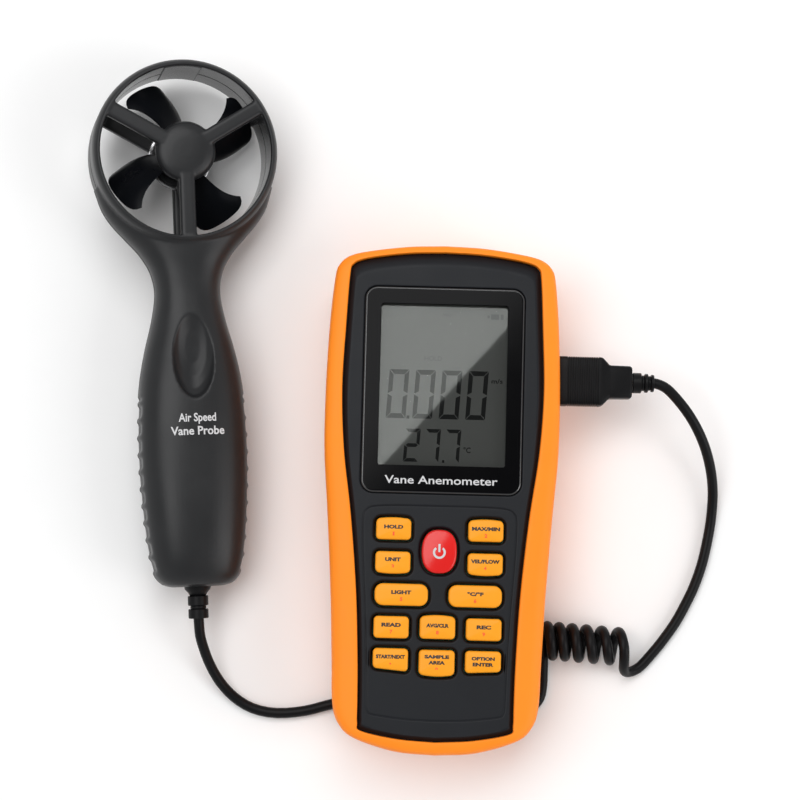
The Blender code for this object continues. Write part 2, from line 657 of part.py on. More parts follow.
def blade(angle):
    """One twisted blade: a thin sheet over radius and chord, given its thickness along Z."""
    across, along = 4, 5
    grid = []
    for i in range(along + 1):
        reach = i / along
        radius = IMPELLER_HUB[0] - 1.2 + (BLADE_TIP - IMPELLER_HUB[0] + 1.2) * reach
        row = []
        for j in range(across + 1):
            share = j / across - 0.5
            bow = 5.0 * math.sin(math.pi * reach) * (0.5 - abs(share)) - 6.0 * share * (1 - reach)
            turn = math.radians(angle + BLADE_CHORD * share + bow)
            rise = BLADE_RISE[1] + (BLADE_RISE[0] - BLADE_RISE[1]) * (share + 0.5)
            row.append((radius * math.cos(turn), radius * math.sin(turn), rise * (0.72 + 0.28 * reach)))
        grid.append(row)
    bm = bmesh.new()
    sheets = []
    for lift in (-BLADE_HALF_THICK, BLADE_HALF_THICK):
        sheets.append([[bm.verts.new((x, y, z + lift)) for x, y, z in row] for row in grid])
    for sheet in sheets:
        for a, b in zip(sheet, sheet[1:]):
            for j in range(across):
                bm.faces.new((a[j], a[j + 1], b[j + 1], b[j]))
    rims = []
    for sheet in sheets:
        rim = sheet[0][:] + [row[-1] for row in sheet[1:]]
        rim += sheet[-1][-2::-1] + [row[0] for row in sheet[-2:0:-1]]
        rims.append(rim)
    for i in range(len(rims[0])):
        j = (i + 1) % len(rims[0])
        bm.faces.new((rims[0][i], rims[0][j], rims[1][j], rims[1][i]))
    return new_object("blade", bm)


def make_impeller():
    radius, half = IMPELLER_HUB
    profile = [(radius - 0.6, -half), (radius, -half + 0.6), (radius, half - 0.6), (radius - 0.6, half)]
    impeller = turned("impeller", profile, 24, "impeller")
    for angle in BLADE_ANGLES:
        join(impeller, blade(angle))
    cut(impeller, drum("axle_bore", AXLE_RADIUS + 0.1, -half - 1, half + 1, 20))
    drum("impeller_axle", AXLE_RADIUS, -AXLE_HALF, AXLE_HALF, 20, "metal")
    for name, side in (("front_bearing", 1), ("rear_bearing", -1)):
        outer, bore, thick = BEARING
        z = side * BEARING_Z
        turned(name, [(outer, z - thick / 2), (outer, z + thick / 2)], 20, "metal", bore)


def make_probe():
    pieces = [make_probe_shell(True), make_probe_shell(False)]
    before = set(bpy.data.objects)
    make_impeller()
    inner, outer = SENSOR_RING
    turned("sensor_ring", [(outer, SENSOR_RING_Z[0]), (outer, SENSOR_RING_Z[1])], 24, "sensor_ring", inner)
    block("duct_sensor", (11, 0.7, 8), (0, DUCT_BORE - 1.0, 0), "sensor_ring")
    block("probe_pcb", (PROBE_PCB[0], PROBE_PCB[1], PROBE_PCB[2]), (0, PROBE_PCB_Y, 0), "circuit_board")
    for number, (y, _) in enumerate(PROBE_SCREWS, 1):
        screw(f"probe_screw_{number}", 2.1, (-6.9, -5.3), 1.0, 5, (0, y))
    nozzle = turned("probe_relief", NOZZLE, NOZZLE_SIDES, "cord")
    turn = Matrix.Rotation(math.radians(90), 4, "X")
    nozzle.data.transform(Matrix.Translation(Vector((0, HANDLE[-1][0] - GAP, 0)) * MM) @ turn)
    pieces += [piece for piece in bpy.data.objects if piece not in before]

    stand = bpy.data.objects.new("probe_frame", None)
    bpy.context.collection.objects.link(stand)
    for piece in pieces:
        piece.parent = stand
    stand.rotation_mode = "QUATERNION"
    turn = (Matrix.Rotation(math.radians(PROBE_YAW), 4, "Z") @ Matrix.Rotation(math.radians(PROBE_PITCH), 4, "X")
            @ Matrix.Rotation(math.radians(PROBE_ROLL), 4, "Y"))
    stand.rotation_quaternion = turn.to_quaternion()
    stand.location = Vector(PROBE_AT) * MM


# ---------------------------------------------------------------- cord

def make_cord(name, route):
    """A tube through evenly spaced points of a smooth curve."""
    fine = smooth_path(route, 12)
    lengths = [0.0]
    for a, b in zip(fine, fine[1:]):
        lengths.append(lengths[-1] + (b - a).length)
    count = round(lengths[-1] / CORD_STEP) + 1
    data = bpy.data.curves.new(name, "CURVE")
    data.dimensions = "3D"
    data.bevel_depth = CORD_RADIUS * MM
    data.bevel_resolution = 2
    data.use_fill_caps = True
    spline = data.splines.new("POLY")
    spline.points.add(count - 1)
    at = 0
    for k in range(count):
        wanted = lengths[-1] * k / (count - 1)
        while at < len(fine) - 2 and lengths[at + 1] < wanted:
            at += 1
        share = (wanted - lengths[at]) / (lengths[at + 1] - lengths[at])
        spline.points[k].co = (*(fine[at].lerp(fine[at + 1], share) * MM), 1)
    made = bpy.data.objects.new(name, data)
    bpy.context.collection.objects.link(made)
    data.materials.append(material("cord"))
    return made


def make_coil():
    """One fat tube of the coil's outside, with its edges rounded."""
    start, end = (Vector(p) for p in COIL_ENDS)
    length = (end - start).length
    coil = turned("cord_coil", [(COIL_RADIUS - 1, 0), (COIL_RADIUS, 1), (COIL_RADIUS, length - 1),
                                (COIL_RADIUS - 1, length)], 20, "cord")
    turn = (end - start).to_track_quat("Z", "Y").to_matrix().to_4x4()
    coil.data.transform(Matrix.Translation(start * MM) @ turn)


def main():
    clear_scene()
    make_boot()
    make_front_case()
    make_rear_case()
    make_display()
    make_keypad()
    make_electronics()
    make_case_screws()
    make_socket_and_plug()
    make_probe()
    make_cord("cord_probe_side", LEFT_ROUTE)
    make_cord("cord_plug_side", RIGHT_ROUTE)
    make_coil()


main()
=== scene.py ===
"""Looks of the vane anemometer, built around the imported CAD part.

Lengths are in millimetres in the CAD's frame and are scaled once by MM.
"""

import math

import bmesh
import bpy
from mathutils import Matrix, Vector


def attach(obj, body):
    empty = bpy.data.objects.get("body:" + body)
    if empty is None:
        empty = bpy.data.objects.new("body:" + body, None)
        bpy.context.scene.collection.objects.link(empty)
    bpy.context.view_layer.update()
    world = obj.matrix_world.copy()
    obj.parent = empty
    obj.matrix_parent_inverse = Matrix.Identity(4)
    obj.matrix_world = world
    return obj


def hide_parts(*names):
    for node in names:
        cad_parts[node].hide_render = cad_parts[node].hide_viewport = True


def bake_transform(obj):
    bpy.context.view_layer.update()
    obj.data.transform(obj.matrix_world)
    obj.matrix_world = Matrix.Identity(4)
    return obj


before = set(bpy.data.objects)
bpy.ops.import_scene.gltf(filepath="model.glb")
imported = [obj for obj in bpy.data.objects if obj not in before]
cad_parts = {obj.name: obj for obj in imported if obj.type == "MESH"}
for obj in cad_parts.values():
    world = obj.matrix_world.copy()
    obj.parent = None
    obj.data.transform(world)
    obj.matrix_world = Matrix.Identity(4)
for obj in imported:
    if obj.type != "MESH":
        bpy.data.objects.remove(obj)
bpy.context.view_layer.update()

MM = 0.001
ROOT = "meter_and_probe"

# Meter: right halves of its outline and of its face's, from the top middle round to the bottom middle.
METER_HALF = (
    (0, 82), (12, 81.5), (24, 79.9), (31, 78.2), (34.6, 75.2), (35.9, 70.5), (37.2, 55), (37.9, 35),
    (37.8, 15), (36.2, -6), (34.6, -30), (33.6, -52), (33, -66), (31, -72.5), (26, -77), (13, -81),
    (0, -82),
)
FACE_HALF = (
    (0, 79.5), (11, 79.1), (21, 77.9), (27.2, 76.6), (29.9, 75.1), (30.9, 72), (31.8, 55), (32.5, 35),
    (31.4, 15), (28.6, -6), (26.3, -30), (25.2, -52), (24.9, -66), (24.8, -72), (23.6, -74.6),
    (12, -76.9), (0, -77.7),
)
OUTLINE_STEP = 1.1
BOOT_TOP = 34.5
BOOT_WALL = 2.2
BOOT_LIP_UNDER = 31.0
BACK_ROUND = 6.0
BACK_WINDOW = (40.0, 60.0, 4.0, (0, 33))
HOLLOW_Y = (-73.0, -70.0, -28.0, -16.0)
HOLLOW_DEPTH = 5.0
GRIP_Y = (-49.0, -3.0)
GRIP_PITCH = 6.4
GRIP_DEPTH = 0.65
BAND = (  # the boot's top, from its outer wall (0) to its inner edge (1), and the height there
    (0, 29.4), (0.012, 30.6), (0.045, 31.7), (0.1, 32.6), (0.18, 33.25), (0.3, 33.75), (0.46, 34.1),
    (0.64, 34.32), (0.8, 34.45), (0.9, 34.5), (0.955, 34.45), (0.985, 34.3), (1, 34.0), (1, 32.5),
    (1, BOOT_LIP_UNDER),
)
CASE_INSET = 2.5
CASE_WALL = 2.0
CASE_SPLIT = 18.0
CASE_SHOULDER = 30.7
FACE_TOP = 34.0
FACE_UNDER = 31.0
WINDOW = (51.5, 66.6, 4.0, (0, 34.7))
WINDOW_Z = (32.6, 34.3)
LCD_CENTRE = (0, 37.8)
LCD_VIEW = (41.0, 52.3, 0.9, (0, 36.5))  # the clear part of the window
LCD_OPENING = (45, 56, 1.0, LCD_CENTRE)  # the hole in the front case under it
LCD_GLASS = (47.0, 58.0, 0.8, LCD_CENTRE)
LCD_Z = (28.4, 30.7)
DIGIT_LEAN = 0.06
BAR_Z = (-0.03, 0.02)  # a lit bar's underside and top, from the glass
PANEL_HALF = (
    (0, -2.6), (12, -2.6), (20.5, -3), (23.6, -4.2), (24.6, -7.5), (24.2, -20), (22.9, -40),
    (22.3, -55), (22, -66), (21.5, -68.4), (20, -69.4), (10, -70.6), (0, -71),
)
PANEL_SUNK = 0.2
PLUG_YZ = (40.0, 20.6)

# Keys: name, centre x and y, width and height, crown of the top and bottom edge, bottom slant, the words
# and the digit below them.
KEYS = (
    ("key_hold", -14.75, -10.3, 11.2, 6.6, 0.5, 0, 0, ("HOLD",), "1"),
    ("key_max_min", 14.75, -10.3, 11.2, 6.6, 0.5, 0, 0, ("MAX/MIN",), "2"),
    ("key_unit", -14.75, -20.7, 11.2, 6.6, 0, 0.5, 0, ("UNIT",), "3"),
    ("key_vel_flow", 14.75, -20.7, 11.2, 6.6, 0, 0.5, 0, ("VEL/FLOW",), "4"),
    ("key_light", -11.8, -31.1, 17.0, 7.0, 0, 0, 0, ("LIGHT",), "5"),
    ("key_c_f", 11.8, -31.1, 17.0, 7.0, 0, 0, 0, ("°C/°F",), "6"),
    ("key_read", -14.75, -41.5, 11.2, 7.0, 0, 0, 0, ("READ",), "7"),
    ("key_avg_clear", 0, -41.4, 11.3, 7.0, 0.6, 0, 0, ("AVG/CLR",), "8"),
    ("key_rec", 14.75, -41.6, 11.3, 7.0, 0, 0, 0, ("REC",), "9"),
    ("key_start_next", -14.75, -51.6, 11.2, 6.8, 0, 0, -0.09, ("START/NEXT",), "•"),
    ("key_sample_area", 0, -52.3, 11.4, 7.8, 0, 0.6, 0, ("SAMPLE", "AREA"), "0"),
    ("key_option_enter", 14.75, -51.8, 11.4, 6.8, 0, 0, 0.05, ("OPTION", "ENTER"), ""),
)
POWER_KEY = (0.0, -17.1, 11.2, 13.9)
KEY_FOOT = 30.0
KEY_TOP = 35.45
KEY_DOME = 0.3
POWER_DOME = 0.55
KEY_ROUND = 0.75
PRINT_LIFT = 0.05
KEY_CLEARANCE = 0.5

# Probe, in its own frame: origin on the duct's axis, +Z out of its front, -Y down the handle.
PROBE_AT = (-88.0, 112.0, 18.02)
PROBE_TURN = (("Z", 3.8), ("X", 1.9), ("Y", 11.5))
DUCT_BORE = 28.0
HANDLE = (  # y, half width, half depth
    (-11, 29.6, 11.5), (-18, 27.3, 11.3), (-23, 24.2, 11.1), (-28, 19.8, 10.9), (-33, 15.4, 10.7),
    (-39, 12, 10.4), (-46, 10.8, 10.3), (-55, 12.2, 10.8), (-65, 14.8, 11.8), (-76, 16.9, 12.9),
    (-90, 18, 13.6), (-105, 18, 13.8), (-120, 17.1, 13.5), (-131, 15.9, 12.7), (-138, 14.3, 11.2),
    (-141.2, 11.8, 9.2), (-142.3, 8.8, 6.8),
)
HANDLE_POWER = 2.5
RIB_Y = (-138.0, -80.0)
RIB_PITCH = 5.6
RIB_DEPTH = 0.85
BLADE_ANGLES = (30, 120, 210, 300)
BLADE_ROOT = 6.4
BLADE_TIP = 25.8
BLADE_TIP_ROUND = 2.6
BLADE_RISE = (-7.2, 13.2)  # height of the lower edge, and how far the other one lies above it
STRUT_ANGLES = (30, 150, 270)
SHELL_VOXEL = 0.42

# Cord. The routes are the CAD part's, but for the way out of the coil. The coil's turns lie in the room
# of the CAD part's fat tube, and its last one a little beyond it.
CORD_RADIUS = 1.7
LEFT_ROUTE = (
    (-77.95, -39.0, 12.98), (-77.8, -41.3, 12.9), (-77.3, -46.0, 11.8), (-76.0, -50.7, 9.4),
    (-74.0, -55.8, 6.6), (-70.8, -61.2, 4.1), (-66.2, -66.0, 2.5), (-60.0, -69.6, 1.8),
    (-52.0, -71.0, 1.72), (-42.5, -70.0, 1.72), (-34.3, -67.7, 1.72), (-24.0, -65.4, 1.72),
    (-10.0, -63.8, 1.72), (5.0, -63.8, 1.72), (18.0, -65.5, 1.72), (27.0, -67.4, 1.72),
    (32.2, -66.9, 1.72), (35.0, -63.8, 1.72), (35.8, -59.5, 1.72), (35.9, -55.0, 1.72),
    (35.9, -51.2, 1.72),
)
COIL_FROM = (35.9, -44.7, 6.55)
COIL_TO = (61.8, -46.2, 6.55)
COIL_RADIUS = 4.8
COIL_TURNS = 5.5
LAST_TURN = ((62.0, -48.9, 10.75), (62.1, -51.4, 9.1), (62.3, -53.3, 6.8), (63.2, -54.4, 4.3))
RIGHT_ROUTE = (
    (65.25, -54.25, 2.37), (68.0, -52.7, 1.75), (71.2, -49.2, 1.72), (75.2, -44.2, 1.72),
    (79.6, -37.8, 1.72), (83.2, -31.0, 1.72), (85.9, -25.0, 1.72), (88.2, -18.0, 1.72),
    (89.7, -11.2, 1.75), (90.7, -5.0, 2.1), (91.1, 0.5, 3.2), (91.0, 5.5, 5.1), (90.3, 10.3, 7.6),
    (89.0, 15.2, 10.4), (87.1, 20.2, 13.2), (84.5, 25.2, 15.9), (81.3, 30.0, 18.1), (77.6, 34.4, 19.7),
    (73.6, 38.3, 20.5), (70.2, 39.9, 20.6), (67.5, 40.0, 20.6),
)

# Camera: where it stands and looks, in mm, how far it is rolled, and its lens.
CAMERA_AT = (-14.0, -37.0, 797.0)
CAMERA_LOOKS_AT = (-13.8, 32.5, 20.0)
CAMERA_ROLL = 1.65
CAMERA_LENS = 107.2

# Lights, in metres. The key light's edge passes over KEY_EDGE_AT; its size is along that edge and across.
KEY_LIGHT = (1.9, 1.0)
KEY_EDGE_AT = (0.031, 0.17, 1.5)
KEY_SPIN = 49.1
KEY_POWER = 21
FILL_LIGHT = (0.8, 1.2)
FILL_AT = (1.3, -0.4, 0.9)
FILL_POWER = 9


# ---------------------------------------------------------------- shapes

def smooth_path(points, steps):
    """Points of a Catmull-Rom curve through the given ones, with that many steps to a span."""
    line = [Vector(p) for p in points]
    padded = [2 * line[0] - line[1], *line, 2 * line[-1] - line[-2]]
    found = []
    for a, b, c, d in zip(padded, padded[1:], padded[2:], padded[3:]):
        for k in range(steps):
            t = k / steps
            found.append(
                0.5 * (2 * b + (c - a) * t + (2 * a - 5 * b + 4 * c - d) * t * t
                       + (3 * b - 3 * c + d - a) * t ** 3)
            )
    found.append(line[-1])
    return found


def closed_outline(right):
    """A closed outline, counter-clockwise from the top middle, from its right half."""
    left = [Vector((-p.x, p.y, 0)) for p in right[1:-1]]
    return left + [right[-1]] + right[-2:0:-1] + [right[0]]


def outlines(halves, step):
    """Outlines read smoothly at matching places, about a step apart on the first."""
    fine = [smooth_path([(x, y, 0) for x, y in half], 24) for half in halves]
    kept = [0]
    for i, point in enumerate(fine[0]):
        if (point - fine[0][kept[-1]]).length >= step:
            kept.append(i)
    kept[-1] = len(fine[0]) - 1
    return [closed_outline([line[i] for i in kept]) for line in fine]


METER, FACE = outlines((METER_HALF, FACE_HALF), OUTLINE_STEP)
PANEL = outlines((PANEL_HALF,), 0.7)[0]


def drawn_in(points, sides, top=None, bottom=None):
    """The outline drawn in by some distance at its sides, top and bottom, and in proportion between."""
    top = sides if top is None else top
    bottom = sides if bottom is None else bottom
    wide = max(p.x for p in points)
    high = max(p.y for p in points)
    low = min(p.y for p in points)
    stretch = (high - top - low - bottom) / (high - low)
    return [Vector((p.x * (wide - sides) / wide, low + bottom + (p.y - low) * stretch, 0)) for p in points]


def grown(points, distance):
    """The outline moved out along its own normals."""
    count = len(points)
    found = []
    for i, point in enumerate(points):
        along = (points[(i + 1) % count] - points[i - 1]).normalized()
        found.append(point + distance * Vector((along.y, -along.x, 0)))
    return found


def at_height(points, z):
    return [(p[0], p[1], z) for p in points]


def rounded_rectangle(width, height, corner, centre=(0, 0), corner_steps=6, side_steps=8):
    corners = []
    for quarter in range(4):
        sx = 1 if quarter in (0, 3) else -1
        sy = 1 if quarter in (0, 1) else -1
        for k in range(corner_steps + 1):
            angle = math.radians(90 * (quarter + k / corner_steps))
            corners.append(Vector((
                centre[0] + sx * (width / 2 - corner) + corner * math.cos(angle),
                centre[1] + sy * (height / 2 - corner) + corner * math.sin(angle), 0)))
    points = []
    for i, point in enumerate(corners):
        points.append(point)
        if i % (corner_steps + 1) == corner_steps:
            following = corners[(i + 1) % len(corners)]
            points += [point.lerp(following, k / side_steps) for k in range(1, side_steps)]
    return points


def circle(radius, sides, centre=(0, 0)):
    step = 2 * math.pi / sides
    return [Vector((centre[0] + radius * math.cos(k * step), centre[1] + radius * math.sin(k * step), 0))
            for k in range(sides)]


def add_loops(bm, rings, closed=False, material_index=0):
    """Faces between rings of equal length. Returns each ring's vertices."""
    loops = [[bm.verts.new(point) for point in ring] for ring in rings]
    pairs = list(zip(loops, loops[1:]))
    if closed:
        pairs.append((loops[-1], loops[0]))
    for low, high in pairs:
        for i in range(len(low)):
            j = (i + 1) % len(low)
            bm.faces.new((low[i], low[j], high[j], high[i])).material_index = material_index
    return loops


def fill_between(bm, loops):
    """A flat fill inside the first loop of vertices and outside the others."""
    edges = []
    for loop in loops:
        for a, b in zip(loop, loop[1:] + loop[:1]):
            edges.append(bm.edges.get((a, b)) or bm.edges.new((a, b)))
    bmesh.ops.triangle_fill(bm, use_beauty=True, use_dissolve=False, edges=edges)


def solid(rings, closed=False):
    """A closed mesh through rings of equal length: capped at both ends, or with its ends joined."""
    bm = bmesh.new()
    loops = add_loops(bm, rings, closed)
    if not closed:
        bm.faces.new(loops[0])
        bm.faces.new(loops[-1])
    return bm


def piece(name, bm, materials, sharp=38, place=None):
    """An object from a mesh in millimetres, smooth except at edges sharper than an angle."""
    if place is not None:
        bm.transform(place)
    bmesh.ops.recalc_face_normals(bm, faces=bm.faces)
    bmesh.ops.scale(bm, vec=(MM, MM, MM), verts=bm.verts)
    mesh = bpy.data.meshes.new(name)
    bm.to_mesh(mesh)
    bm.free()
    for item in materials:
        mesh.materials.append(item)
    mesh.shade_smooth()
    mesh.set_sharp_from_angle(angle=math.radians(sharp))
    made = bpy.data.objects.new(name, mesh)
    bpy.context.collection.objects.link(made)
    return made


def settle(made, body, slot, *nodes):
    """Rides the piece on its body and hides the nodes it stands for; the slot is not used."""
    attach(made, body)
    if nodes:
        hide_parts(*nodes)
    return made


def apply_modifiers(made):
    graph = bpy.context.evaluated_depsgraph_get()
    mesh = bpy.data.meshes.new_from_object(made.evaluated_get(graph))
    made.modifiers.clear()
    old = made.data
    made.data = mesh
    bpy.data.meshes.remove(old)


def combine(target, tool, operation, sharp=38):
    """Applies a Boolean to the target and removes the tool."""
    modifier = target.modifiers.new(operation, "BOOLEAN")
    modifier.operation = operation
    modifier.object = tool
    apply_modifiers(target)
    bpy.data.objects.remove(tool, do_unlink=True)
    target.data.shade_smooth()
    target.data.set_sharp_from_angle(angle=math.radians(sharp))


def block(size, centre):
    x, y, z = (s / 2 for s in size)
    rings = [[(centre[0] + a, centre[1] + b, centre[2] + c) for a, b in ((-x, -y), (x, -y), (x, y), (-x, y))]
             for c in (-z, z)]
    return solid(rings)


def along_x(section, x, centre):
    """A flat outline stood up across X."""
    return [(x, centre[0] + p.x, centre[1] + p.y) for p in section]


def text_mesh(words, width, height, centre, surface, thick=PRINT_LIFT, bold=0.02):
    """Raised words of a given size on a surface, whose height is a function of x and y."""
    curve = bpy.data.curves.new("words", "FONT")
    curve.body = words
    curve.align_x = "CENTER"
    curve.offset = bold
    curve.extrude = 0.5
    curve.resolution_u = 3
    holder = bpy.data.objects.new("words", curve)
    bpy.context.collection.objects.link(holder)
    graph = bpy.context.evaluated_depsgraph_get()
    mesh = bpy.data.meshes.new_from_object(holder.evaluated_get(graph))
    bpy.data.objects.remove(holder, do_unlink=True)
    bm = bmesh.new()
    bm.from_mesh(mesh)
    bpy.data.meshes.remove(mesh)
    bmesh.ops.remove_doubles(bm, verts=bm.verts, dist=0.0005)
    low = Vector([min(v.co[k] for v in bm.verts) for k in range(3)])
    high = Vector([max(v.co[k] for v in bm.verts) for k in range(3)])
    middle = (low + high) / 2
    for v in bm.verts:
        x = centre[0] + (v.co.x - middle.x) * width / (high.x - low.x)
        y = centre[1] + (v.co.y - middle.y) * height / (high.y - low.y)
        lift = thick if v.co.z > 0 else -thick
        v.co = (x, y, surface(x, y) + lift)
    return bm


def absorb(target, source, material_index):
    """Adds one mesh to another with its own material."""
    for face in source.faces:
        face.material_index = material_index
    carrier = bpy.data.meshes.new("carrier")
    source.to_mesh(carrier)
    source.free()
    target.from_mesh(carrier)
    bpy.data.meshes.remove(carrier)


# ---------------------------------------------------------------- materials

def moulded(name, colour, roughness, grain=0.35, depth=0.02, metallic=0.0, specular=0.5, vary=0.12):
    """A moulded or cast surface: fine grain, faint cloudiness in its colour and its gloss. Sizes in mm."""
    made = bpy.data.materials.new(name)
    made.use_nodes = True
    tree = made.node_tree
    shader = tree.nodes["Principled BSDF"]
    shader.inputs["Metallic"].default_value = metallic
    shader.inputs["Specular IOR Level"].default_value = specular
    place = tree.nodes.new("ShaderNodeTexCoord")
    cloud = tree.nodes.new("ShaderNodeTexNoise")
    cloud.inputs["Scale"].default_value = 90
    cloud.inputs["Detail"].default_value = 4
    fine = tree.nodes.new("ShaderNodeTexNoise")
    fine.inputs["Scale"].default_value = 1 / (grain * MM)
    fine.inputs["Detail"].default_value = 2
    mix = tree.nodes.new("ShaderNodeMix")
    mix.data_type = "RGBA"
    mix.inputs["A"].default_value = (*(c * (1 - vary) for c in colour), 1)
    mix.inputs["B"].default_value = (*(min(1, c * (1 + vary)) for c in colour), 1)
    gloss = tree.nodes.new("ShaderNodeMapRange")
    gloss.inputs["From Min"].default_value = 0.3
    gloss.inputs["From Max"].default_value = 0.7
    gloss.inputs["To Min"].default_value = 0.9 * roughness
    gloss.inputs["To Max"].default_value = 1.1 * roughness
    bump = tree.nodes.new("ShaderNodeBump")
    bump.inputs["Strength"].default_value = 0.6
    bump.inputs["Distance"].default_value = depth * MM
    for texture in (cloud, fine):
        tree.links.new(place.outputs["Object"], texture.inputs["Vector"])
    tree.links.new(cloud.outputs["Fac"], mix.inputs["Factor"])
    tree.links.new(mix.outputs["Result"], shader.inputs["Base Color"])
    tree.links.new(cloud.outputs["Fac"], gloss.inputs["Value"])
    tree.links.new(gloss.outputs["Result"], shader.inputs["Roughness"])
    tree.links.new(fine.outputs["Fac"], bump.inputs["Height"])
    tree.links.new(bump.outputs["Normal"], shader.inputs["Normal"])
    return made


def clear_lens():
    """A clear pane: see-through, with a weak mirror that strengthens at a slant."""
    made = bpy.data.materials.new("clear_lens")
    made.use_nodes = True
    tree = made.node_tree
    shader = tree.nodes["Principled BSDF"]
    shader.inputs["Base Color"].default_value = (0.01, 0.01, 0.01, 1)
    shader.inputs["Roughness"].default_value = 0.04
    through = tree.nodes.new("ShaderNodeBsdfTransparent")
    through.inputs["Color"].default_value = (0.96, 0.97, 0.96, 1)
    slant = tree.nodes.new("ShaderNodeLayerWeight")
    slant.inputs["Blend"].default_value = 0.1
    mix = tree.nodes.new("ShaderNodeMixShader")
    tree.links.new(slant.outputs["Facing"], mix.inputs["Fac"])
    tree.links.new(through.outputs["BSDF"], mix.inputs[1])
    tree.links.new(shader.outputs["BSDF"], mix.inputs[2])
    tree.links.new(mix.outputs["Shader"], tree.nodes["Material Output"].inputs["Surface"])
    return made


RUBBER = moulded("boot_orange", (0.98, 0.25, 0.012), 0.5, 0.4, 0.02, specular=0.22, vary=0.05)
CASE = moulded("case_charcoal", (0.0095, 0.0107, 0.0132), 0.45, 0.3, 0.03, specular=0.17)
BORDER = moulded("window_black", (0.002, 0.002, 0.0024), 0.1, 0.9, 0.001, specular=0.07)
RIM = moulded("window_rim", (0.01, 0.01, 0.011), 0.2, 0.9, 0.001, specular=1.0)
LENS = clear_lens()
LCD = moulded("lcd_grey", (0.054, 0.0543, 0.0535), 0.02, 1.5, 0.0002, specular=0.62, vary=0.04)
SEGMENT = moulded("lcd_segment", (0.003, 0.0032, 0.0035), 0.02, 1.5, 0.0002, specular=0.42)
FAINT = moulded("lcd_faint", (0.034, 0.035, 0.036), 0.02, 1.5, 0.0002, specular=0.5)
WHITE = moulded("print_white", (0.55, 0.55, 0.56), 0.5, 0.3, 0.004, vary=0.04)
KEY = moulded("key_orange", (0.86, 0.325, 0.012), 0.42, 0.35, 0.012, specular=0.22, vary=0.05)
POWER = moulded("key_red", (0.66, 0.012, 0.01), 0.22, 0.5, 0.006, specular=0.4, vary=0.06)
KEY_PRINT = moulded("print_dark", (0.014, 0.008, 0.006), 0.5, 0.3, 0.004)
KEY_DIGIT = moulded("print_red", (0.85, 0.09, 0.02), 0.5, 0.3, 0.004)
PROBE = moulded("probe_charcoal", (0.0155, 0.016, 0.0172), 0.36, 0.28, 0.03, specular=0.26)
DUCT_WALL = moulded("duct_wall", (0.07, 0.071, 0.073), 0.2, 0.5, 0.003, specular=1.0)
BLADES = moulded("blade_black", (0.0035, 0.004, 0.0055), 0.3, 0.5, 0.004, specular=0.2)
CORD = moulded("cord_black", (0.005, 0.005, 0.0056), 0.4, 0.5, 0.015, specular=0.13)
STEEL = moulded("steel", (0.62, 0.62, 0.6), 0.28, 0.2, 0.004, metallic=1.0)
CHROME = moulded("chrome", (0.4, 0.4, 0.41), 0.2, 0.6, 0.002, metallic=1.0)
BOARD = moulded("board_green", (0.02, 0.16, 0.07), 0.45, 0.6, 0.02)
CHIP = moulded("chip_black", (0.015, 0.015, 0.016), 0.55, 0.3, 0.02)
CELL = moulded("battery_sleeve", (0.06, 0.06, 0.07), 0.35, 0.8, 0.01)
MAT = moulded("mat_grey", (0.1, 0.1, 0.1), 0.65, 0.4, 0.02)
PALE = moulded("pale_plastic", (0.75, 0.75, 0.72), 0.5, 0.4, 0.01, vary=0.05)


# ---------------------------------------------------------------- camera, lights and floor

def make_camera():
    data = bpy.data.cameras.new("camera")
    data.lens = CAMERA_LENS
    data.clip_start = 0.01
    holder = bpy.data.objects.new("camera", data)
    bpy.context.collection.objects.link(holder)
    stand = Vector(CAMERA_AT) * MM
    look = Vector(CAMERA_LOOKS_AT) * MM - stand
    turn = look.to_track_quat("-Z", "Y").to_matrix().to_4x4()
    roll = Matrix.Rotation(math.radians(CAMERA_ROLL), 4, "Z")
    holder.matrix_world = Matrix.Translation(stand) @ turn @ roll
    bpy.context.scene.camera = holder


def area_light(name, place, size, power):
    data = bpy.data.lights.new(name, "AREA")
    data.shape = "RECTANGLE"
    data.size, data.size_y = size
    data.energy = power
    holder = bpy.data.objects.new(name, data)
    bpy.context.collection.objects.link(holder)
    holder.matrix_world = place


def make_studio():
    """A soft overhead light whose edge the display mirrors, a low fill, and a world bright at its sides."""
    spin = math.radians(KEY_SPIN)
    out = Vector((-math.sin(spin), math.cos(spin), 0))
    at = Vector(KEY_EDGE_AT) + 0.5 * KEY_LIGHT[1] * out
    area_light("key", Matrix.Translation(at) @ Matrix.Rotation(spin, 4, "Z"), KEY_LIGHT, KEY_POWER)
    low = Vector(FILL_AT)
    aim = low.to_track_quat("Z", "Y").to_matrix().to_4x4()
    area_light("fill", Matrix.Translation(low) @ aim, FILL_LIGHT, FILL_POWER)
    world = bpy.data.worlds.new("studio")
    bpy.context.scene.world = world
    world.use_nodes = True
    tree = world.node_tree
    place = tree.nodes.new("ShaderNodeTexCoord")
    split = tree.nodes.new("ShaderNodeSeparateXYZ")
    ramp = tree.nodes.new("ShaderNodeValToRGB")
    ramp.color_ramp.elements[0].position = 0.35
    ramp.color_ramp.elements[0].color = (1, 1, 1, 1)
    ramp.color_ramp.elements[1].position = 0.85
    ramp.color_ramp.elements[1].color = (0.3, 0.3, 0.3, 1)
    tree.links.new(place.outputs["Generated"], split.inputs["Vector"])
    tree.links.new(split.outputs["Z"], ramp.inputs["Fac"])
    tree.links.new(ramp.outputs["Color"], tree.nodes["Background"].inputs["Color"])
    tree.nodes["Background"].inputs["Strength"].default_value = 0.8
    bpy.context.scene.view_settings.view_transform = "Standard"


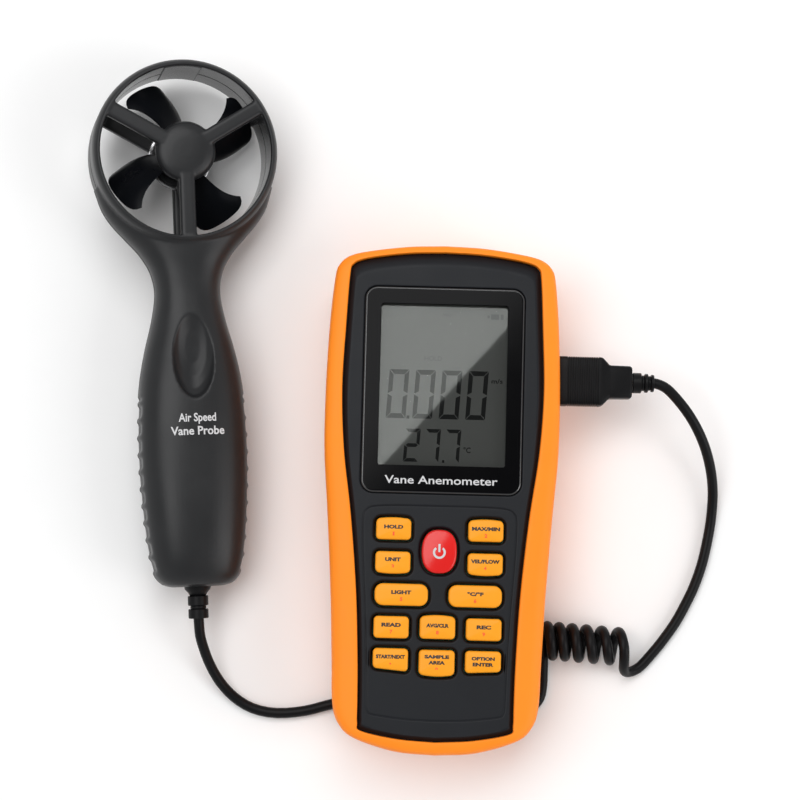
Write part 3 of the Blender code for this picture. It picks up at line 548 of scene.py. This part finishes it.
def make_floor():
    bm = bmesh.new()
    bmesh.ops.create_grid(bm, x_segments=2, y_segments=2, size=2500)
    bm.transform(Matrix.Translation((0, 0, -0.05)))
    white = moulded("floor_white", (0.9, 0.9, 0.9), 0.8, 4, 0.001, specular=0.2, vary=0.01)
    piece("floor", bm, [white])


# ---------------------------------------------------------------- cord, gland and plug

def cord_path():
    """The whole cord's centreline: out of the probe, under the meter, through the coil and up to the plug."""
    left = smooth_path(LEFT_ROUTE, 3)
    start, end = Vector(COIL_FROM), Vector(COIL_TO)
    coil = []
    steps = 24
    for k in range(1, round(COIL_TURNS * steps) + 1):
        turn = k / steps
        share = turn / COIL_TURNS
        angle = math.radians(-90 + 360 * turn)
        drift = 0.76 * share + 0.24 * share * share
        coil.append(start.lerp(end, drift) + COIL_RADIUS * Vector((0, math.cos(angle), math.sin(angle))))
    first = start + Vector((0, 0, -COIL_RADIUS))
    entry = smooth_path([left[-4], left[-1], first, coil[3]], 4)[4:9]
    right = smooth_path([coil[-3], coil[-1], *LAST_TURN, *RIGHT_ROUTE], 4)[5:]
    return left[:-1] + entry[:-1] + [first] + coil + right


def tube(points, radius, sides=16):
    """A round tube along points, by carrying one frame along them."""
    rings = []
    side = None
    for i, point in enumerate(points):
        ahead = points[min(i + 1, len(points) - 1)]
        behind = points[max(i - 1, 0)]
        along = (ahead - behind).normalized()
        if side is None:
            side = along.orthogonal().normalized()
        side = (side - along * side.dot(along)).normalized()
        up = along.cross(side)
        rings.append([point + radius * (math.cos(a) * side + math.sin(a) * up)
                      for a in (2 * math.pi * k / sides for k in range(sides))])
    return solid(rings)


def turned(profile, sides=64, closed=False):
    """A solid turned about Z from (radius, z) points."""
    return solid([at_height(circle(radius, sides), z) for radius, z in profile], closed)


PROBE_PLACE = Matrix.Translation(PROBE_AT)
for axis, angle in PROBE_TURN:
    PROBE_PLACE = PROBE_PLACE @ Matrix.Rotation(math.radians(angle), 4, axis)


def ribbed_sleeve(profile):
    """Profile of a strain relief: each (radius, from, to) band with eased edges."""
    found = []
    for radius, low, high in profile:
        found += [(radius - 0.25, low), (radius, low + 0.22), (radius, high - 0.22), (radius - 0.25, high)]
    return found


def make_cord():
    points = cord_path()
    cord = piece("cord_run", tube(points, CORD_RADIUS), [CORD])
    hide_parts("cord_probe_side", "cord_coil", "cord_plug_side")

    bands = [(4.65, 0, 1.9), (2.75, 2.1, 4.1), (3.35, 4.1, 7.3), (2.6, 7.3, 8.4), (3.3, 8.4, 11.5)]
    gland = turned([(2.1, 0)] + ribbed_sleeve(bands)[:2] + [(4.2, 1.9), (3.1, 3.2)] + ribbed_sleeve(bands)[6:]
                   + [(1.75, 11.5)], 48)
    turn = Matrix.Translation((0, -141.3, 0)) @ Matrix.Rotation(math.radians(90), 4, "X")
    gland = piece("probe_gland", gland, [CORD], place=PROBE_PLACE @ turn)
    settle(gland, ROOT, "cord", "probe_relief")

    bands = [(3.35, 0, 2.9), (2.55, 2.9, 3.9), (3.1, 3.9, 5.1), (2.4, 5.1, 6), (2.85, 6, 7.05)]
    sleeve = turned([(1.8, 0)] + ribbed_sleeve(bands) + [(1.75, 7.1)], 48)
    turn = Matrix.Translation((62.1, *PLUG_YZ)) @ Matrix.Rotation(math.radians(90), 4, "Y")
    sleeve = piece("plug_sleeve", sleeve, [CORD], place=turn)
    settle(sleeve, "usb_plug", "cord", "plug_relief")

    body = piece("plug_body", plug_body(), [CORD])
    settle(body, "usb_plug", "cord", "plug_overmould")

    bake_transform(cord)


def plug_body():
    """The plug's moulded grip: a wide block with fine ribs, stepping down to a narrow neck."""
    rings = []

    def section(x, width, depth, corner=1.2):
        rings.append(along_x(rounded_rectangle(width, depth, corner, (0, 0), 4, 4), x, PLUG_YZ))

    section(35.3, 14.6, 6.6, 0.8)
    section(35.6, 15.6, 7.6)
    section(36.2, 16.0, 8.0)
    for k in range(14):
        x = 40.6 + 0.75 * k
        section(x, 15.95, 8.0)
        section(x + 0.12, 15.45, 7.55)
        section(x + 0.34, 15.45, 7.55)
        section(x + 0.46, 15.95, 8.0)
    section(51.6, 15.8, 8.0)
    section(52.2, 15.4, 7.8)
    section(52.9, 14.2, 7.6, 1.4)
    section(54.3, 11.2, 7.3, 1.4)
    section(54.9, 10.8, 7.2, 1.4)
    section(61.0, 10.6, 7.1, 1.4)
    section(61.5, 10.2, 6.7, 1.4)
    section(61.8, 9.4, 6.0)
    return solid(rings)


# ---------------------------------------------------------------- meter

def hollow_height(y):
    """How high the boot's back lies in the grip hollow."""
    low, low_top, high_top, high = HOLLOW_Y
    if y <= low or y >= high:
        return 0.0
    if y < low_top:
        return HOLLOW_DEPTH * (y - low) / (low_top - low)
    if y > high_top:
        return HOLLOW_DEPTH * (high - y) / (high - high_top)
    return HOLLOW_DEPTH


def ease(value, low, high):
    t = min(1.0, max(0.0, (value - low) / (high - low)))
    return t * t * (3 - 2 * t)


def grip_wave(point, z):
    """How far the boot's side dips in for the grip waves."""
    low, high = GRIP_Y
    if not low < point.y < high or abs(point.x) < 20:
        return 0.0
    fade = ease(point.y, low, low + 3) * (1 - ease(point.y, high - 3, high))
    fade *= ease(z, 8, 12) * (1 - ease(z, 25, 30.5))
    return GRIP_DEPTH * fade * (0.5 + 0.5 * math.cos(2 * math.pi * (point.y - high) / GRIP_PITCH + math.pi))


def toward_window(point, window):
    """Where the line from the back window's middle to the point crosses the window's edge."""
    width, height, corner, centre = window
    away = point - Vector((*centre, 0))
    low, high = 0.0, 1.0
    for _ in range(24):
        t = (low + high) / 2
        dx = abs(away.x) * t - (width / 2 - corner)
        dy = abs(away.y) * t - (height / 2 - corner)
        inside = max(dx, dy) <= corner if min(dx, dy) < 0 else math.hypot(dx, dy) <= corner
        low, high = (t, high) if inside else (low, t)
    return Vector((*centre, 0)) + low * away


def make_boot():
    window = [toward_window(p, BACK_WINDOW) for p in METER]
    wide_window = grown(window, 0.4)
    edge = drawn_in(METER, BACK_ROUND)
    rings = [at_height(window, 0.4)]
    for k in range(25):
        t = k / 24
        ring = [a.lerp(b, t) for a, b in zip(wide_window, edge)]
        rings.append([(p.x, p.y, hollow_height(p.y)) for p in ring])
    for angle in (75, 60, 45, 30, 15, 0):
        inward = BACK_ROUND * (1 - math.cos(math.radians(angle)))
        rise = BACK_ROUND * (1 - math.sin(math.radians(angle)))
        rings.append([(p.x, p.y, hollow_height(p.y) + rise) for p in drawn_in(METER, inward)])
    for z in (11.5, 14, 17, 20, 23, 25.5, 27.6):
        rings.append([(p.x - math.copysign(grip_wave(p, z), p.x), p.y, z) for p in METER])
    for t, z in BAND:
        rings.append([(*a.lerp(b, t).xy, z) for a, b in zip(METER, FACE)])
    rings.append(at_height(drawn_in(METER, BOOT_WALL), BOOT_LIP_UNDER))
    for z in (20, 13.5):
        rings.append(at_height(drawn_in(METER, BOOT_WALL), z))
    for k in range(13):
        t = 1 - k / 12
        ring = [a.lerp(b, t) for a, b in zip(window, edge)]
        rings.append([(p.x, p.y, BOOT_WALL + hollow_height(p.y)) for p in ring])
    boot = piece("boot_skin", solid(rings, closed=True), [RUBBER])
    opening = rounded_rectangle(17.4, 9.2, 0.9, (0, 0), 3, 2)
    tool = piece("tool", solid([along_x(opening, x, PLUG_YZ) for x in (31, 61)]), [RUBBER])
    combine(boot, tool, "DIFFERENCE")
    settle(boot, ROOT, "boot_rubber", "boot")


def key_outline(key, grow=0.0):
    """A key's outline: a rounded rectangle with crowned or slanting edges, grown by a clearance."""
    _, x, y, width, height, top_crown, bottom_crown, slant = key[:8]
    corner = max(0.3, (2.6 if width > 15 else 1.3) + grow)
    half = width / 2 + grow
    shaped = []
    for point in rounded_rectangle(width + 2 * grow, height + 2 * grow, corner, (0, 0), 5, 8):
        crown = 1 - (point.x / half) ** 2
        if point.y > 0:
            rise = top_crown * crown
        else:
            rise = slant * point.x - bottom_crown * crown
        upright = abs(point.y) / (height / 2 + grow)
        shaped.append(Vector((x + point.x, y + point.y + rise * min(1.0, 1.4 * upright), 0)))
    return shaped


def oval(grow=0.0):
    """The power key's outline: straight-sided, with nearly half-round ends."""
    x, y, width, height = POWER_KEY
    points = []
    for k in range(64):
        angle = 2 * math.pi * k / 64
        cos, sin = math.cos(angle), math.sin(angle)
        points.append(Vector((
            x + (width / 2 + grow) * math.copysign(abs(cos) ** 0.78, cos),
            y + (height / 2 + grow) * math.copysign(abs(sin) ** 0.86, sin), 0)))
    return points


def key_body(outline_of, centre, dome):
    """A keycap: straight sides, a rounded rim and a slightly domed top."""
    middle = Vector((*centre, 0))
    rings = [at_height(outline_of(0.0), KEY_FOOT), at_height(outline_of(0.0), KEY_TOP - KEY_ROUND)]
    for angle in (22, 45, 68):
        a = math.radians(angle)
        rings.append(at_height(outline_of(-KEY_ROUND * (1 - math.cos(a))),
                               KEY_TOP - KEY_ROUND + 0.72 * math.sin(a)))
    rim = outline_of(-0.78)
    for t in (0, 0.15, 0.35, 0.55, 0.75, 0.92):
        rings.append([(*p.lerp(middle, t).xy, KEY_TOP - 0.03 + dome * (1 - (1 - t) ** 2)) for p in rim])
    return solid(rings)


def key_surface(centre, half_width, half_height, dome):
    """The height of a keycap's domed top at x and y."""
    def height_at(x, y):
        out = max(abs(x - centre[0]) / half_width, abs(y - centre[1]) / half_height)
        return KEY_TOP - 0.03 + dome * (1 - min(1.0, out) ** 2)
    return height_at


LABEL_WIDTHS = {  # width of each key's words, in mm
    "HOLD": 6.1, "MAX/MIN": 9.0, "UNIT": 5.0, "VEL/FLOW": 9.2, "LIGHT": 6.4, "°C/°F": 5.2, "READ": 6.2,
    "AVG/CLR": 7.2, "REC": 4.6, "START/NEXT": 9.2, "SAMPLE": 7.8, "AREA": 5.2, "OPTION": 7.4, "ENTER": 6.6,
}


def make_keys():
    for key in KEYS:
        name, x, y, width, height = key[:5]
        words, digit = key[8:]
        bm = key_body(lambda grow, key=key: key_outline(key, grow), (x, y), KEY_DOME)
        surface = key_surface((x, y), width / 2 - 0.8, height / 2 - 0.8, KEY_DOME)
        lines = len(words)
        tall = 1.25 if lines == 1 else 1.15
        for row, word in enumerate(words):
            up = 0.75 if lines == 1 else (1.75 if digit else 1.0) - 1.85 * row
            absorb(bm, text_mesh(word, LABEL_WIDTHS[word], tall, (x, y + up), surface, bold=0.055), 1)
        if digit:
            down = -1.45 if lines == 1 else -2.2
            size = (0.55, 0.55) if digit == "•" else (0.55 if digit == "1" else 0.85, 1.2)
            absorb(bm, text_mesh(digit, *size, (x, y + down), surface, bold=0.035), 2)
        cap = piece(name + "_cap", bm, [KEY, KEY_PRINT, KEY_DIGIT], 50)
        settle(cap, name, "key_rubber", name)

    x, y, width, height = POWER_KEY
    bm = key_body(oval, (x, y), POWER_DOME)
    surface = key_surface((x, y), width / 2 - 0.8, height / 2 - 0.8, POWER_DOME)
    absorb(bm, power_sign((x, y - 0.3), surface), 1)
    cap = piece("key_power_cap", bm, [POWER, WHITE], 50)
    settle(cap, "key_power", "power_key", "key_power")


def power_sign(centre, surface):
    """The usual sign for power: a ring open at the top, with a bar in the opening."""
    bm = bmesh.new()
    steps = 40
    inner, outer, root, half = 1.35, 2.05, 0.2, 0.33
    sections = []
    for k in range(steps + 1):
        angle = math.radians(90 + 38 + 284 * k / steps)
        section = []
        for radius, lift in ((inner, -root), (outer, -root), (outer, PRINT_LIFT), (inner, PRINT_LIFT)):
            x = centre[0] + radius * math.cos(angle)
            y = centre[1] + radius * math.sin(angle)
            section.append((x, y, surface(x, y) + lift))
        sections.append(section)
    absorb(bm, solid(sections), 0)
    sections = []
    left, right = centre[0] - half, centre[0] + half
    for k in range(7):
        y = centre[1] + 0.1 + 2.6 * k / 6
        low, high = (surface(centre[0], y) + lift for lift in (-root, PRINT_LIFT))
        sections.append([(left, y, low), (right, y, low), (right, y, high), (left, y, high)])
    absorb(bm, solid(sections), 0)
    return bm


def hole_rings(outline_of, floor):
    """The eased lip and wall of a hole in the face, from the face down to a floor."""
    steps = ((1.5, FACE_TOP), (1.3, FACE_TOP), (1.12, FACE_TOP - 0.05), (0.95, FACE_TOP - 0.2),
             (0.8, FACE_TOP - 0.45), (0.68, FACE_TOP - 0.8), (0.6, FACE_TOP - 1.3), (KEY_CLEARANCE, floor))
    return [at_height(outline_of(grow), z) for grow, z in steps]


def box_outline(box, grow=0.0):
    """A rounded rectangle given as (width, height, corner, centre), grown all round."""
    width, height, corner, centre = box
    return rounded_rectangle(width + 2 * grow, height + 2 * grow, corner + grow, centre, 10, 6)


def make_front():
    """The front case: its walls, raised lip, sunk key panel, and the holes for keys, window and plug."""
    bm = bmesh.new()
    side = drawn_in(METER, CASE_INSET)
    rim = drawn_in(FACE, 0.4)
    plateau = drawn_in(FACE, 1.9, 4.4, 1.6)
    inner_side = drawn_in(METER, CASE_INSET + CASE_WALL)
    under = drawn_in(FACE, CASE_WALL + 0.8)
    rings = [at_height(under, FACE_UNDER), at_height(under, CASE_SHOULDER - CASE_WALL),
             at_height(inner_side, CASE_SHOULDER - CASE_WALL), at_height(inner_side, CASE_SPLIT),
             at_height(side, CASE_SPLIT), at_height(side, CASE_SHOULDER), at_height(rim, CASE_SHOULDER),
             at_height(rim, 31.9)]
    for t, drop in ((0.03, 1.85), (0.1, 1.6), (0.3, 1.12), (0.5, 0.72), (0.7, 0.38), (0.85, 0.14), (1, 0)):
        rings.append([(*a.lerp(b, t).xy, FACE_TOP - drop) for a, b in zip(rim, plateau)])
    rings.append(at_height(drawn_in(plateau, 0.5), FACE_TOP))
    shell = add_loops(bm, rings)

    panel_edge = ((0.6, 0), (0.3, 0), (0.14, 0.08), (0, 0.24), (-0.14, 0.3), (-0.32, 0.22),
                  (-0.5, PANEL_SUNK), (-0.8, PANEL_SUNK))
    panel = add_loops(bm, [at_height(grown(PANEL, grow), FACE_TOP - drop) for grow, drop in panel_edge])
    sunk = []
    for outline_of in key_outlines():
        rings = [[(x, y, z - PANEL_SUNK * ease(z, FACE_TOP - 2, FACE_TOP)) for x, y, z in ring]
                 for ring in hole_rings(outline_of, FACE_UNDER)]
        sunk.append(add_loops(bm, rings))

    ledge = WINDOW_Z[0] - 0.3
    seat = ((0.8, FACE_TOP), (0.6, FACE_TOP), (0.4, FACE_TOP - 0.05), (0.27, FACE_TOP - 0.2),
            (0.22, FACE_TOP - 0.4), (0.22, ledge))
    window = add_loops(bm, [at_height(box_outline(WINDOW, grow), z) for grow, z in seat]
                       + [at_height(box_outline(LCD_OPENING), z) for z in (ledge, FACE_UNDER)])
    fill_between(bm, [shell[-1], window[0], panel[0]])
    fill_between(bm, [panel[-1]] + [loops[0] for loops in sunk])
    fill_between(bm, [shell[0], window[-1]] + [loops[-1] for loops in sunk])
    front = piece("front_panel", bm, [CASE], 34)
    tool = piece("tool", block((30, 16.6, 8.6), (46, *PLUG_YZ)), [CASE])
    combine(front, tool, "DIFFERENCE", 34)
    settle(front, ROOT, "case_plastic", "front_case")


def key_outlines():
    """Each key's outline, as a function of how far it is grown."""
    return [lambda grow, key=key: key_outline(key, grow) for key in KEYS] + [oval]


def make_window():
    """The window: a black printed border with an eased edge round a clear pane."""
    low, high = WINDOW_Z
    pane = box_outline(LCD_VIEW)
    edge = ((-0.3, low), (0, low + 0.3), (0, high - 0.6), (-0.1, high - 0.3), (-0.3, high - 0.1),
            (-0.6, high), (-0.9, high))
    bm = bmesh.new()
    rings = [at_height(box_outline(WINDOW, grow), z) for grow, z in edge]
    loops = add_loops(bm, [at_height(pane, low), *rings, at_height(pane, high)])
    for loop in (loops[0], loops[-1]):
        bm.faces.new(loop).material_index = 1
    for face in bm.faces:
        if low + 0.4 < face.calc_center_median().z < high - 0.02:
            face.material_index = 2
    window = piece("window_pane", bm, [BORDER, LENS, RIM], 50)
    settle(window, ROOT, "window", "lcd_window")

    words = text_mesh("Vane Anemometer", 36.2, 2.6, (0, 5.7), lambda x, y: high, 0.02, 0.01)
    settle(piece("window_text", words, [WHITE], 50), ROOT, "window")


# Which bars of a digit are lit: top, upper left and right, middle, lower left and right, bottom.
SEGMENTS = {"0": "1110111", "2": "1011101", "7": "1010010"}


def add_bar(bm, points, surface, material_index):
    """Adds a thin printed bar of that outline on the glass."""
    absorb(bm, solid([at_height(points, surface + z) for z in BAR_Z]), material_index)


def digit_bars(bm, digit, left, bottom, width, height, thick, surface):
    """Seven-bar digit with pointed, slightly parted bars."""
    half = thick / 2
    gap = thick * 0.09
    middle = height / 2

    def leaning(points):
        return [(left + x + DIGIT_LEAN * y, bottom + y) for x, y in points]

    bars = {
        0: [(gap, height), (width - gap, height), (width - thick, height - thick), (thick, height - thick)],
        1: [(0, height - gap), (thick - gap, height - thick - gap), (thick - gap, middle + half + gap),
            (0, middle + gap)],
        2: [(width, height - gap), (width, middle + gap), (width - thick + gap, middle + half + gap),
            (width - thick + gap, height - thick - gap)],
        3: [(gap + half * 0.6, middle), (thick, middle + half), (width - thick, middle + half),
            (width - gap - half * 0.6, middle), (width - thick, middle - half), (thick, middle - half)],
        4: [(0, middle - gap), (thick - gap, middle - half - gap), (thick - gap, thick + gap), (0, gap)],
        5: [(width, middle - gap), (width, gap), (width - thick + gap, thick + gap),
            (width - thick + gap, middle - half - gap)],
        6: [(gap, 0), (thick, thick), (width - thick, thick), (width - gap, 0)],
    }
    for index, lit in enumerate(SEGMENTS[digit]):
        if lit == "1":
            add_bar(bm, leaning(bars[index]), surface, 1)


def make_lcd():
    """The display's glass with its lit bars and small signs."""
    low, high = LCD_Z
    width, height, corner, centre = LCD_GLASS
    bm = solid([at_height(rounded_rectangle(width - inset, height - inset, corner, centre, 3, 2), z)
                for inset, z in ((0.4, low), (0, low + 0.2), (0, high - 0.3), (0.6, high), (1.2, high))])
    for k in range(4):
        digit_bars(bm, "0", -18.3 + 8.55 * k, 25.7, 6.4, 15.8, 1.55, high)
    add_bar(bm, [(-11.6, 25.6), (-10.7, 25.6), (-10.65, 26.6), (-11.55, 26.6)], high, 1)
    for k, digit in enumerate("277"):
        digit_bars(bm, digit, -12.4 + 6.55 * k, 11.7, 4.9, 10.7, 1.15, high)
    add_bar(bm, [(0.2, 11.6), (0.95, 11.6), (1.0, 12.4), (0.25, 12.4)], high, 1)

    def flat(x, y):
        return high

    absorb(bm, text_mesh("°C", 2.3, 1.9, (8.2, 15.9), flat, 0.02), 1)
    absorb(bm, text_mesh("m/s", 3.6, 1.5, (17.4, 38.4), flat, 0.02), 1)
    absorb(bm, text_mesh("HOLD", 5.6, 1.5, (-3.4, 45.3), flat, 0.02, 0.0), 2)
    absorb(bm, text_mesh("MAX", 3.0, 1.1, (0.9, 59.6), flat, 0.02, 0.0), 2)
    battery_y = 59.3
    for x, wide, tall in ((14.2, 0.7, 0.9), (16.3, 2.6, 1.7), (18.6, 0.9, 1.7)):
        add_bar(bm, [(x - wide / 2, battery_y - tall / 2), (x + wide / 2, battery_y - tall / 2),
                     (x + wide / 2, battery_y + tall / 2), (x - wide / 2, battery_y + tall / 2)], high, 2)
    settle(piece("lcd_glass", bm, [LCD, SEGMENT, FAINT], 40), ROOT, "lcd", "lcd_panel")


# ---------------------------------------------------------------- probe

def handle_size(y, table):
    """Half width and half depth of the handle at y."""
    for (ya, wa, da), (yb, wb, db) in zip(table, table[1:]):
        if yb <= y <= ya:
            t = (ya - y) / (ya - yb) if ya != yb else 0
            return wa + (wb - wa) * t, da + (db - da) * t
    return table[-1][1:]


def rib_dip(y):
    """How far the handle's side dips at y: wide round dimples with narrow teeth between."""
    low, high = RIB_Y
    if not low < y < high:
        return 0.0
    phase = ((y - low) / RIB_PITCH) % 1.0
    return RIB_DEPTH * ease(1 - abs(2 * phase - 1), 0.12, 0.55)


def handle_rings(front):
    """Half of the handle: sections along Y, closer together where its sides are dimpled."""
    side = 1 if front else -1
    fine = [tuple(p) for p in smooth_path(HANDLE, 8)]
    stations = [y for y, _, _ in fine if y > RIB_Y[1] or y < RIB_Y[0]]
    count = round((RIB_Y[1] - RIB_Y[0]) / 0.5)
    stations += [RIB_Y[0] + 0.5 * k for k in range(count + 1)]
    rings = []
    sides = 36
    for y in sorted(set(stations), reverse=True):
        half_width, half_depth = handle_size(y, fine)
        ring = []
        for k in range(sides + 1):
            angle = math.pi * k / sides
            cos, sin = math.cos(angle), math.sin(angle)
            x = half_width * math.copysign(abs(cos) ** (2 / HANDLE_POWER), cos)
            z = half_depth * abs(sin) ** (2 / HANDLE_POWER)
            x -= math.copysign(rib_dip(y) * (1 - ease(z, 3.0, 6.5)), cos)
            ring.append((x, y, side * (0.15 + z * (1 - 0.15 / half_depth))))
        rings.append(ring)
    return rings


def make_probe_shell(front):
    """Half of the probe's body: duct, handle, hub and struts, fused and with every edge eased."""
    side = 1 if front else -1
    flip = Matrix.Scale(side, 4, (0, 0, 1))
    name = "probe_front" if front else "probe_rear"
    rim = [(30.5, 0.15), (30.5, 8.2), (30.35, 9.6), (29.95, 10.9), (29.3, 11.9), (28.5, 12.5), (26, 12.5),
           (26, 0.15)]
    shell = piece(name, turned(rim, 144, closed=True), [PROBE], place=flip)

    def shape(operation, bm, place=flip):
        combine(shell, piece("tool", bm, [PROBE], place=place), operation)

    shape("UNION", solid(handle_rings(front)), None)
    bore = [(DUCT_BORE, -1.0), (DUCT_BORE, 11.6), (DUCT_BORE + 0.25, 12.2), (DUCT_BORE + 0.9, 12.9)]
    shape("DIFFERENCE", turned(bore, 144))
    if front:
        scoop = [(0.01, -6), (2.5, -5.8), (4.6, -5.1), (6.4, -3.7), (7.3, -2.15), (7.7, 0), (7.3, 2),
                 (0.01, 2.5)]
        shape("DIFFERENCE", turned(scoop, 96),
              Matrix.Translation((0, -64.7, 14.5)) @ Matrix.Rotation(math.radians(5), 4, "X")
              @ Matrix.Scale(2.15, 4, (0, 1, 0)))
    for angle in STRUT_ANGLES:
        strut = rounded_rectangle(5.1, 3.6, 0.9, (0, 10.3), 3, 1)
        rings = [[(x, p.x, p.y) for p in strut] for x in (6, 20, 29)]
        shape("UNION", solid(rings), flip @ Matrix.Rotation(math.radians(angle), 4, "Z"))
    hub = [(9.8, 7.6), (9.9, 9.7), (9.65, 10.0), (9.45, 10.1), (9.4, 10.7), (9.1, 11.3), (8.1, 11.85),
           (6.6, 12.25), (4.6, 12.5), (2.2, 12.6)]
    shape("UNION", turned(hub, 72))
    shape("DIFFERENCE", turned([(3.25, 6.5), (3.25, 11.0)], 32))
    if not front:
        for y in (-52, -84, -122):
            shape("DIFFERENCE", solid([at_height(circle(2.5, 24, (0, y)), z) for z in (-20, -5.2)]), None)
    remesh = shell.modifiers.new("fuse", "REMESH")
    remesh.mode = "VOXEL"
    remesh.voxel_size = SHELL_VOXEL * MM
    remesh.use_smooth_shade = True
    soften = shell.modifiers.new("ease", "SMOOTH")
    soften.factor = 0.5
    soften.iterations = 4
    apply_modifiers(shell)
    shell.data.materials.clear()
    shell.data.materials.append(PROBE)
    shell.data.materials.append(DUCT_WALL)
    for vertex in shell.data.vertices:
        radius = vertex.co.xy.length / MM
        if DUCT_BORE - 0.35 < radius < DUCT_BORE + 0.3 and abs(vertex.co.z) < 11.3 * MM:
            vertex.co.xy *= DUCT_BORE / radius
    for face in shell.data.polygons:
        if (DUCT_BORE - 0.2) * MM < face.center.xy.length < (DUCT_BORE + 0.1) * MM:
            face.material_index = 1 if abs(face.center.z) < 11 * MM else 0
    shell.data.transform(Matrix.Scale(MM, 4) @ PROBE_PLACE @ Matrix.Scale(1 / MM, 4))
    shell.data.shade_smooth()
    settle(shell, ROOT, "probe_plastic", "probe_front_shell" if front else "probe_rear_shell")


def blade(angle):
    """A twisted blade, wide at its root on one side, its other edge scooped out below the tip."""
    across, along = 18, 18
    sheets = []
    for lift in (-0.5, 0.5):
        sheet = []
        for i in range(along + 1):
            reach = i / along
            row = []
            for j in range(across + 1):
                share = j / across - 0.5
                tip = BLADE_TIP - BLADE_TIP_ROUND * abs(2 * share) ** 6
                radius = BLADE_ROOT + (tip - BLADE_ROOT) * reach
                low = -18 - 28 * (1 - reach) ** 1.15  # degrees of the blade's two edges at this radius
                high = 10.5 + 10.5 * reach ** 3
                turn = math.radians(angle + low + (high - low) * (share + 0.5))
                rise = (BLADE_RISE[0] + BLADE_RISE[1] * (share + 0.5)) * (0.8 + 0.2 * reach)
                thin = 1 - 0.55 * max(abs(2 * share) ** 4, reach ** 6)
                row.append((radius * math.cos(turn), radius * math.sin(turn), rise + lift * thin))
            sheet.append(row)
        sheets.append(sheet)
    bm = bmesh.new()
    grids = [[[bm.verts.new(point) for point in row] for row in sheet] for sheet in sheets]
    rims = []
    for grid in grids:
        for a, b in zip(grid, grid[1:]):
            for j in range(across):
                bm.faces.new((a[j], a[j + 1], b[j + 1], b[j]))
        rim = grid[0][:] + [row[-1] for row in grid[1:]]
        rim += grid[-1][-2::-1] + [row[0] for row in grid[-2:0:-1]]
        rims.append(rim)
    for i in range(len(rims[0])):
        j = (i + 1) % len(rims[0])
        bm.faces.new((rims[0][i], rims[0][j], rims[1][j], rims[1][i]))
    return bm


def make_impeller():
    hub = [(1.1, -6.6), (6.6, -6.6), (7.2, -6.4), (7.6, -5.8), (7.6, 5.8), (7.2, 6.4), (6.6, 6.6), (1.1, 6.6)]
    rotor = piece("rotor", turned(hub, 64, closed=True), [BLADES])
    for angle in BLADE_ANGLES:
        combine(rotor, piece("tool", blade(angle), [BLADES]), "UNION", 50)
    rotor.data.transform(Matrix.Scale(MM, 4) @ PROBE_PLACE @ Matrix.Scale(1 / MM, 4))
    settle(rotor, "impeller", "impeller", "impeller")

    ring = [(9.0, -8.2), (9.15, -7.45), (9.4, -7.4), (10.2, -7.4), (10.45, -7.5), (10.5, -7.7), (10.45, -8.2),
            (10.2, -8.3), (9.3, -8.3)]
    hoop = piece("sensor_hoop", turned(ring, 96, closed=True), [CHROME], place=PROBE_PLACE)
    settle(hoop, ROOT, "sensor_ring", "sensor_ring")


def make_duct_plate():
    """The plate let into the top of the duct's wall, with a black strip of painted shade at each side edge
    for its seam.
    """
    rings = []
    for angle in (77.4, 77.9, 82, 86, 90, 94, 98, 102.1, 102.6):
        turn = math.radians(angle)
        rings.append([(radius * math.cos(turn), radius * math.sin(turn), z) for radius, z in
                      ((28.4, -11), (27.95, -11), (27.8, -10.8), (27.8, 10.8), (27.95, 11), (28.4, 11))])
    bm = solid(rings)
    # The faces at each side edge take the black blade finish: painted shade standing in for the shaded seam's
    # gap.
    for face in bm.faces:
        middle = face.calc_center_median()
        face.material_index = 0 if abs(middle.x) < 5.9 else 1
    plate = piece("duct_plate", bm, [DUCT_WALL, BLADES], 30, PROBE_PLACE)
    settle(plate, ROOT, "probe_plastic", "duct_sensor")


def handle_top(x, y):
    """Height of the handle's front at x and y."""
    half_width, half_depth = handle_size(y, HANDLE)
    return half_depth * (1 - min(1.0, abs(x) / half_width) ** HANDLE_POWER) ** (1 / HANDLE_POWER)


def make_probe():
    make_probe_shell(True)
    make_probe_shell(False)
    make_impeller()
    make_duct_plate()
    labels = (("Air Speed", 12.2, 3.6, -87.9), ("Vane Probe", 17.4, 2.8, -91.8))
    for number, (words, width, height, y) in enumerate(labels, 1):
        bm = text_mesh(words, width, height, (0.3, y), handle_top, 0.06)
        label = piece(f"probe_text_{number}", bm, [WHITE], 50, place=PROBE_PLACE)
        settle(label, ROOT, "probe_plastic")


# ---------------------------------------------------------------- CAD pieces that stay in view

CARRIED = {
    "rear_case": CASE, "battery_door": CASE, "lcd_backlight": PALE, "keypad_mat": MAT,
    "main_pcb": BOARD, "main_chip": CHIP, "buzzer": CHIP, "battery_9v": CELL, "battery_snap": CHIP,
    "case_screw_1": STEEL, "case_screw_2": STEEL, "case_screw_3": STEEL, "case_screw_4": STEEL,
    "usb_socket": STEEL, "usb_tongue": PALE, "plug_shell": STEEL, "plug_insert": PALE,
    "front_bearing": STEEL, "rear_bearing": STEEL, "impeller_axle": STEEL, "probe_pcb": BOARD,
    "probe_screw_1": STEEL, "probe_screw_2": STEEL, "probe_screw_3": STEEL,
}


def finish_carried():
    for node, finish in CARRIED.items():
        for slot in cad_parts[node].material_slots:
            slot.material = finish


def main():
    make_camera()
    make_cord()
    make_studio()
    make_floor()
    make_boot()
    make_front()
    make_window()
    make_lcd()
    make_keys()
    make_probe()
    finish_carried()


main()
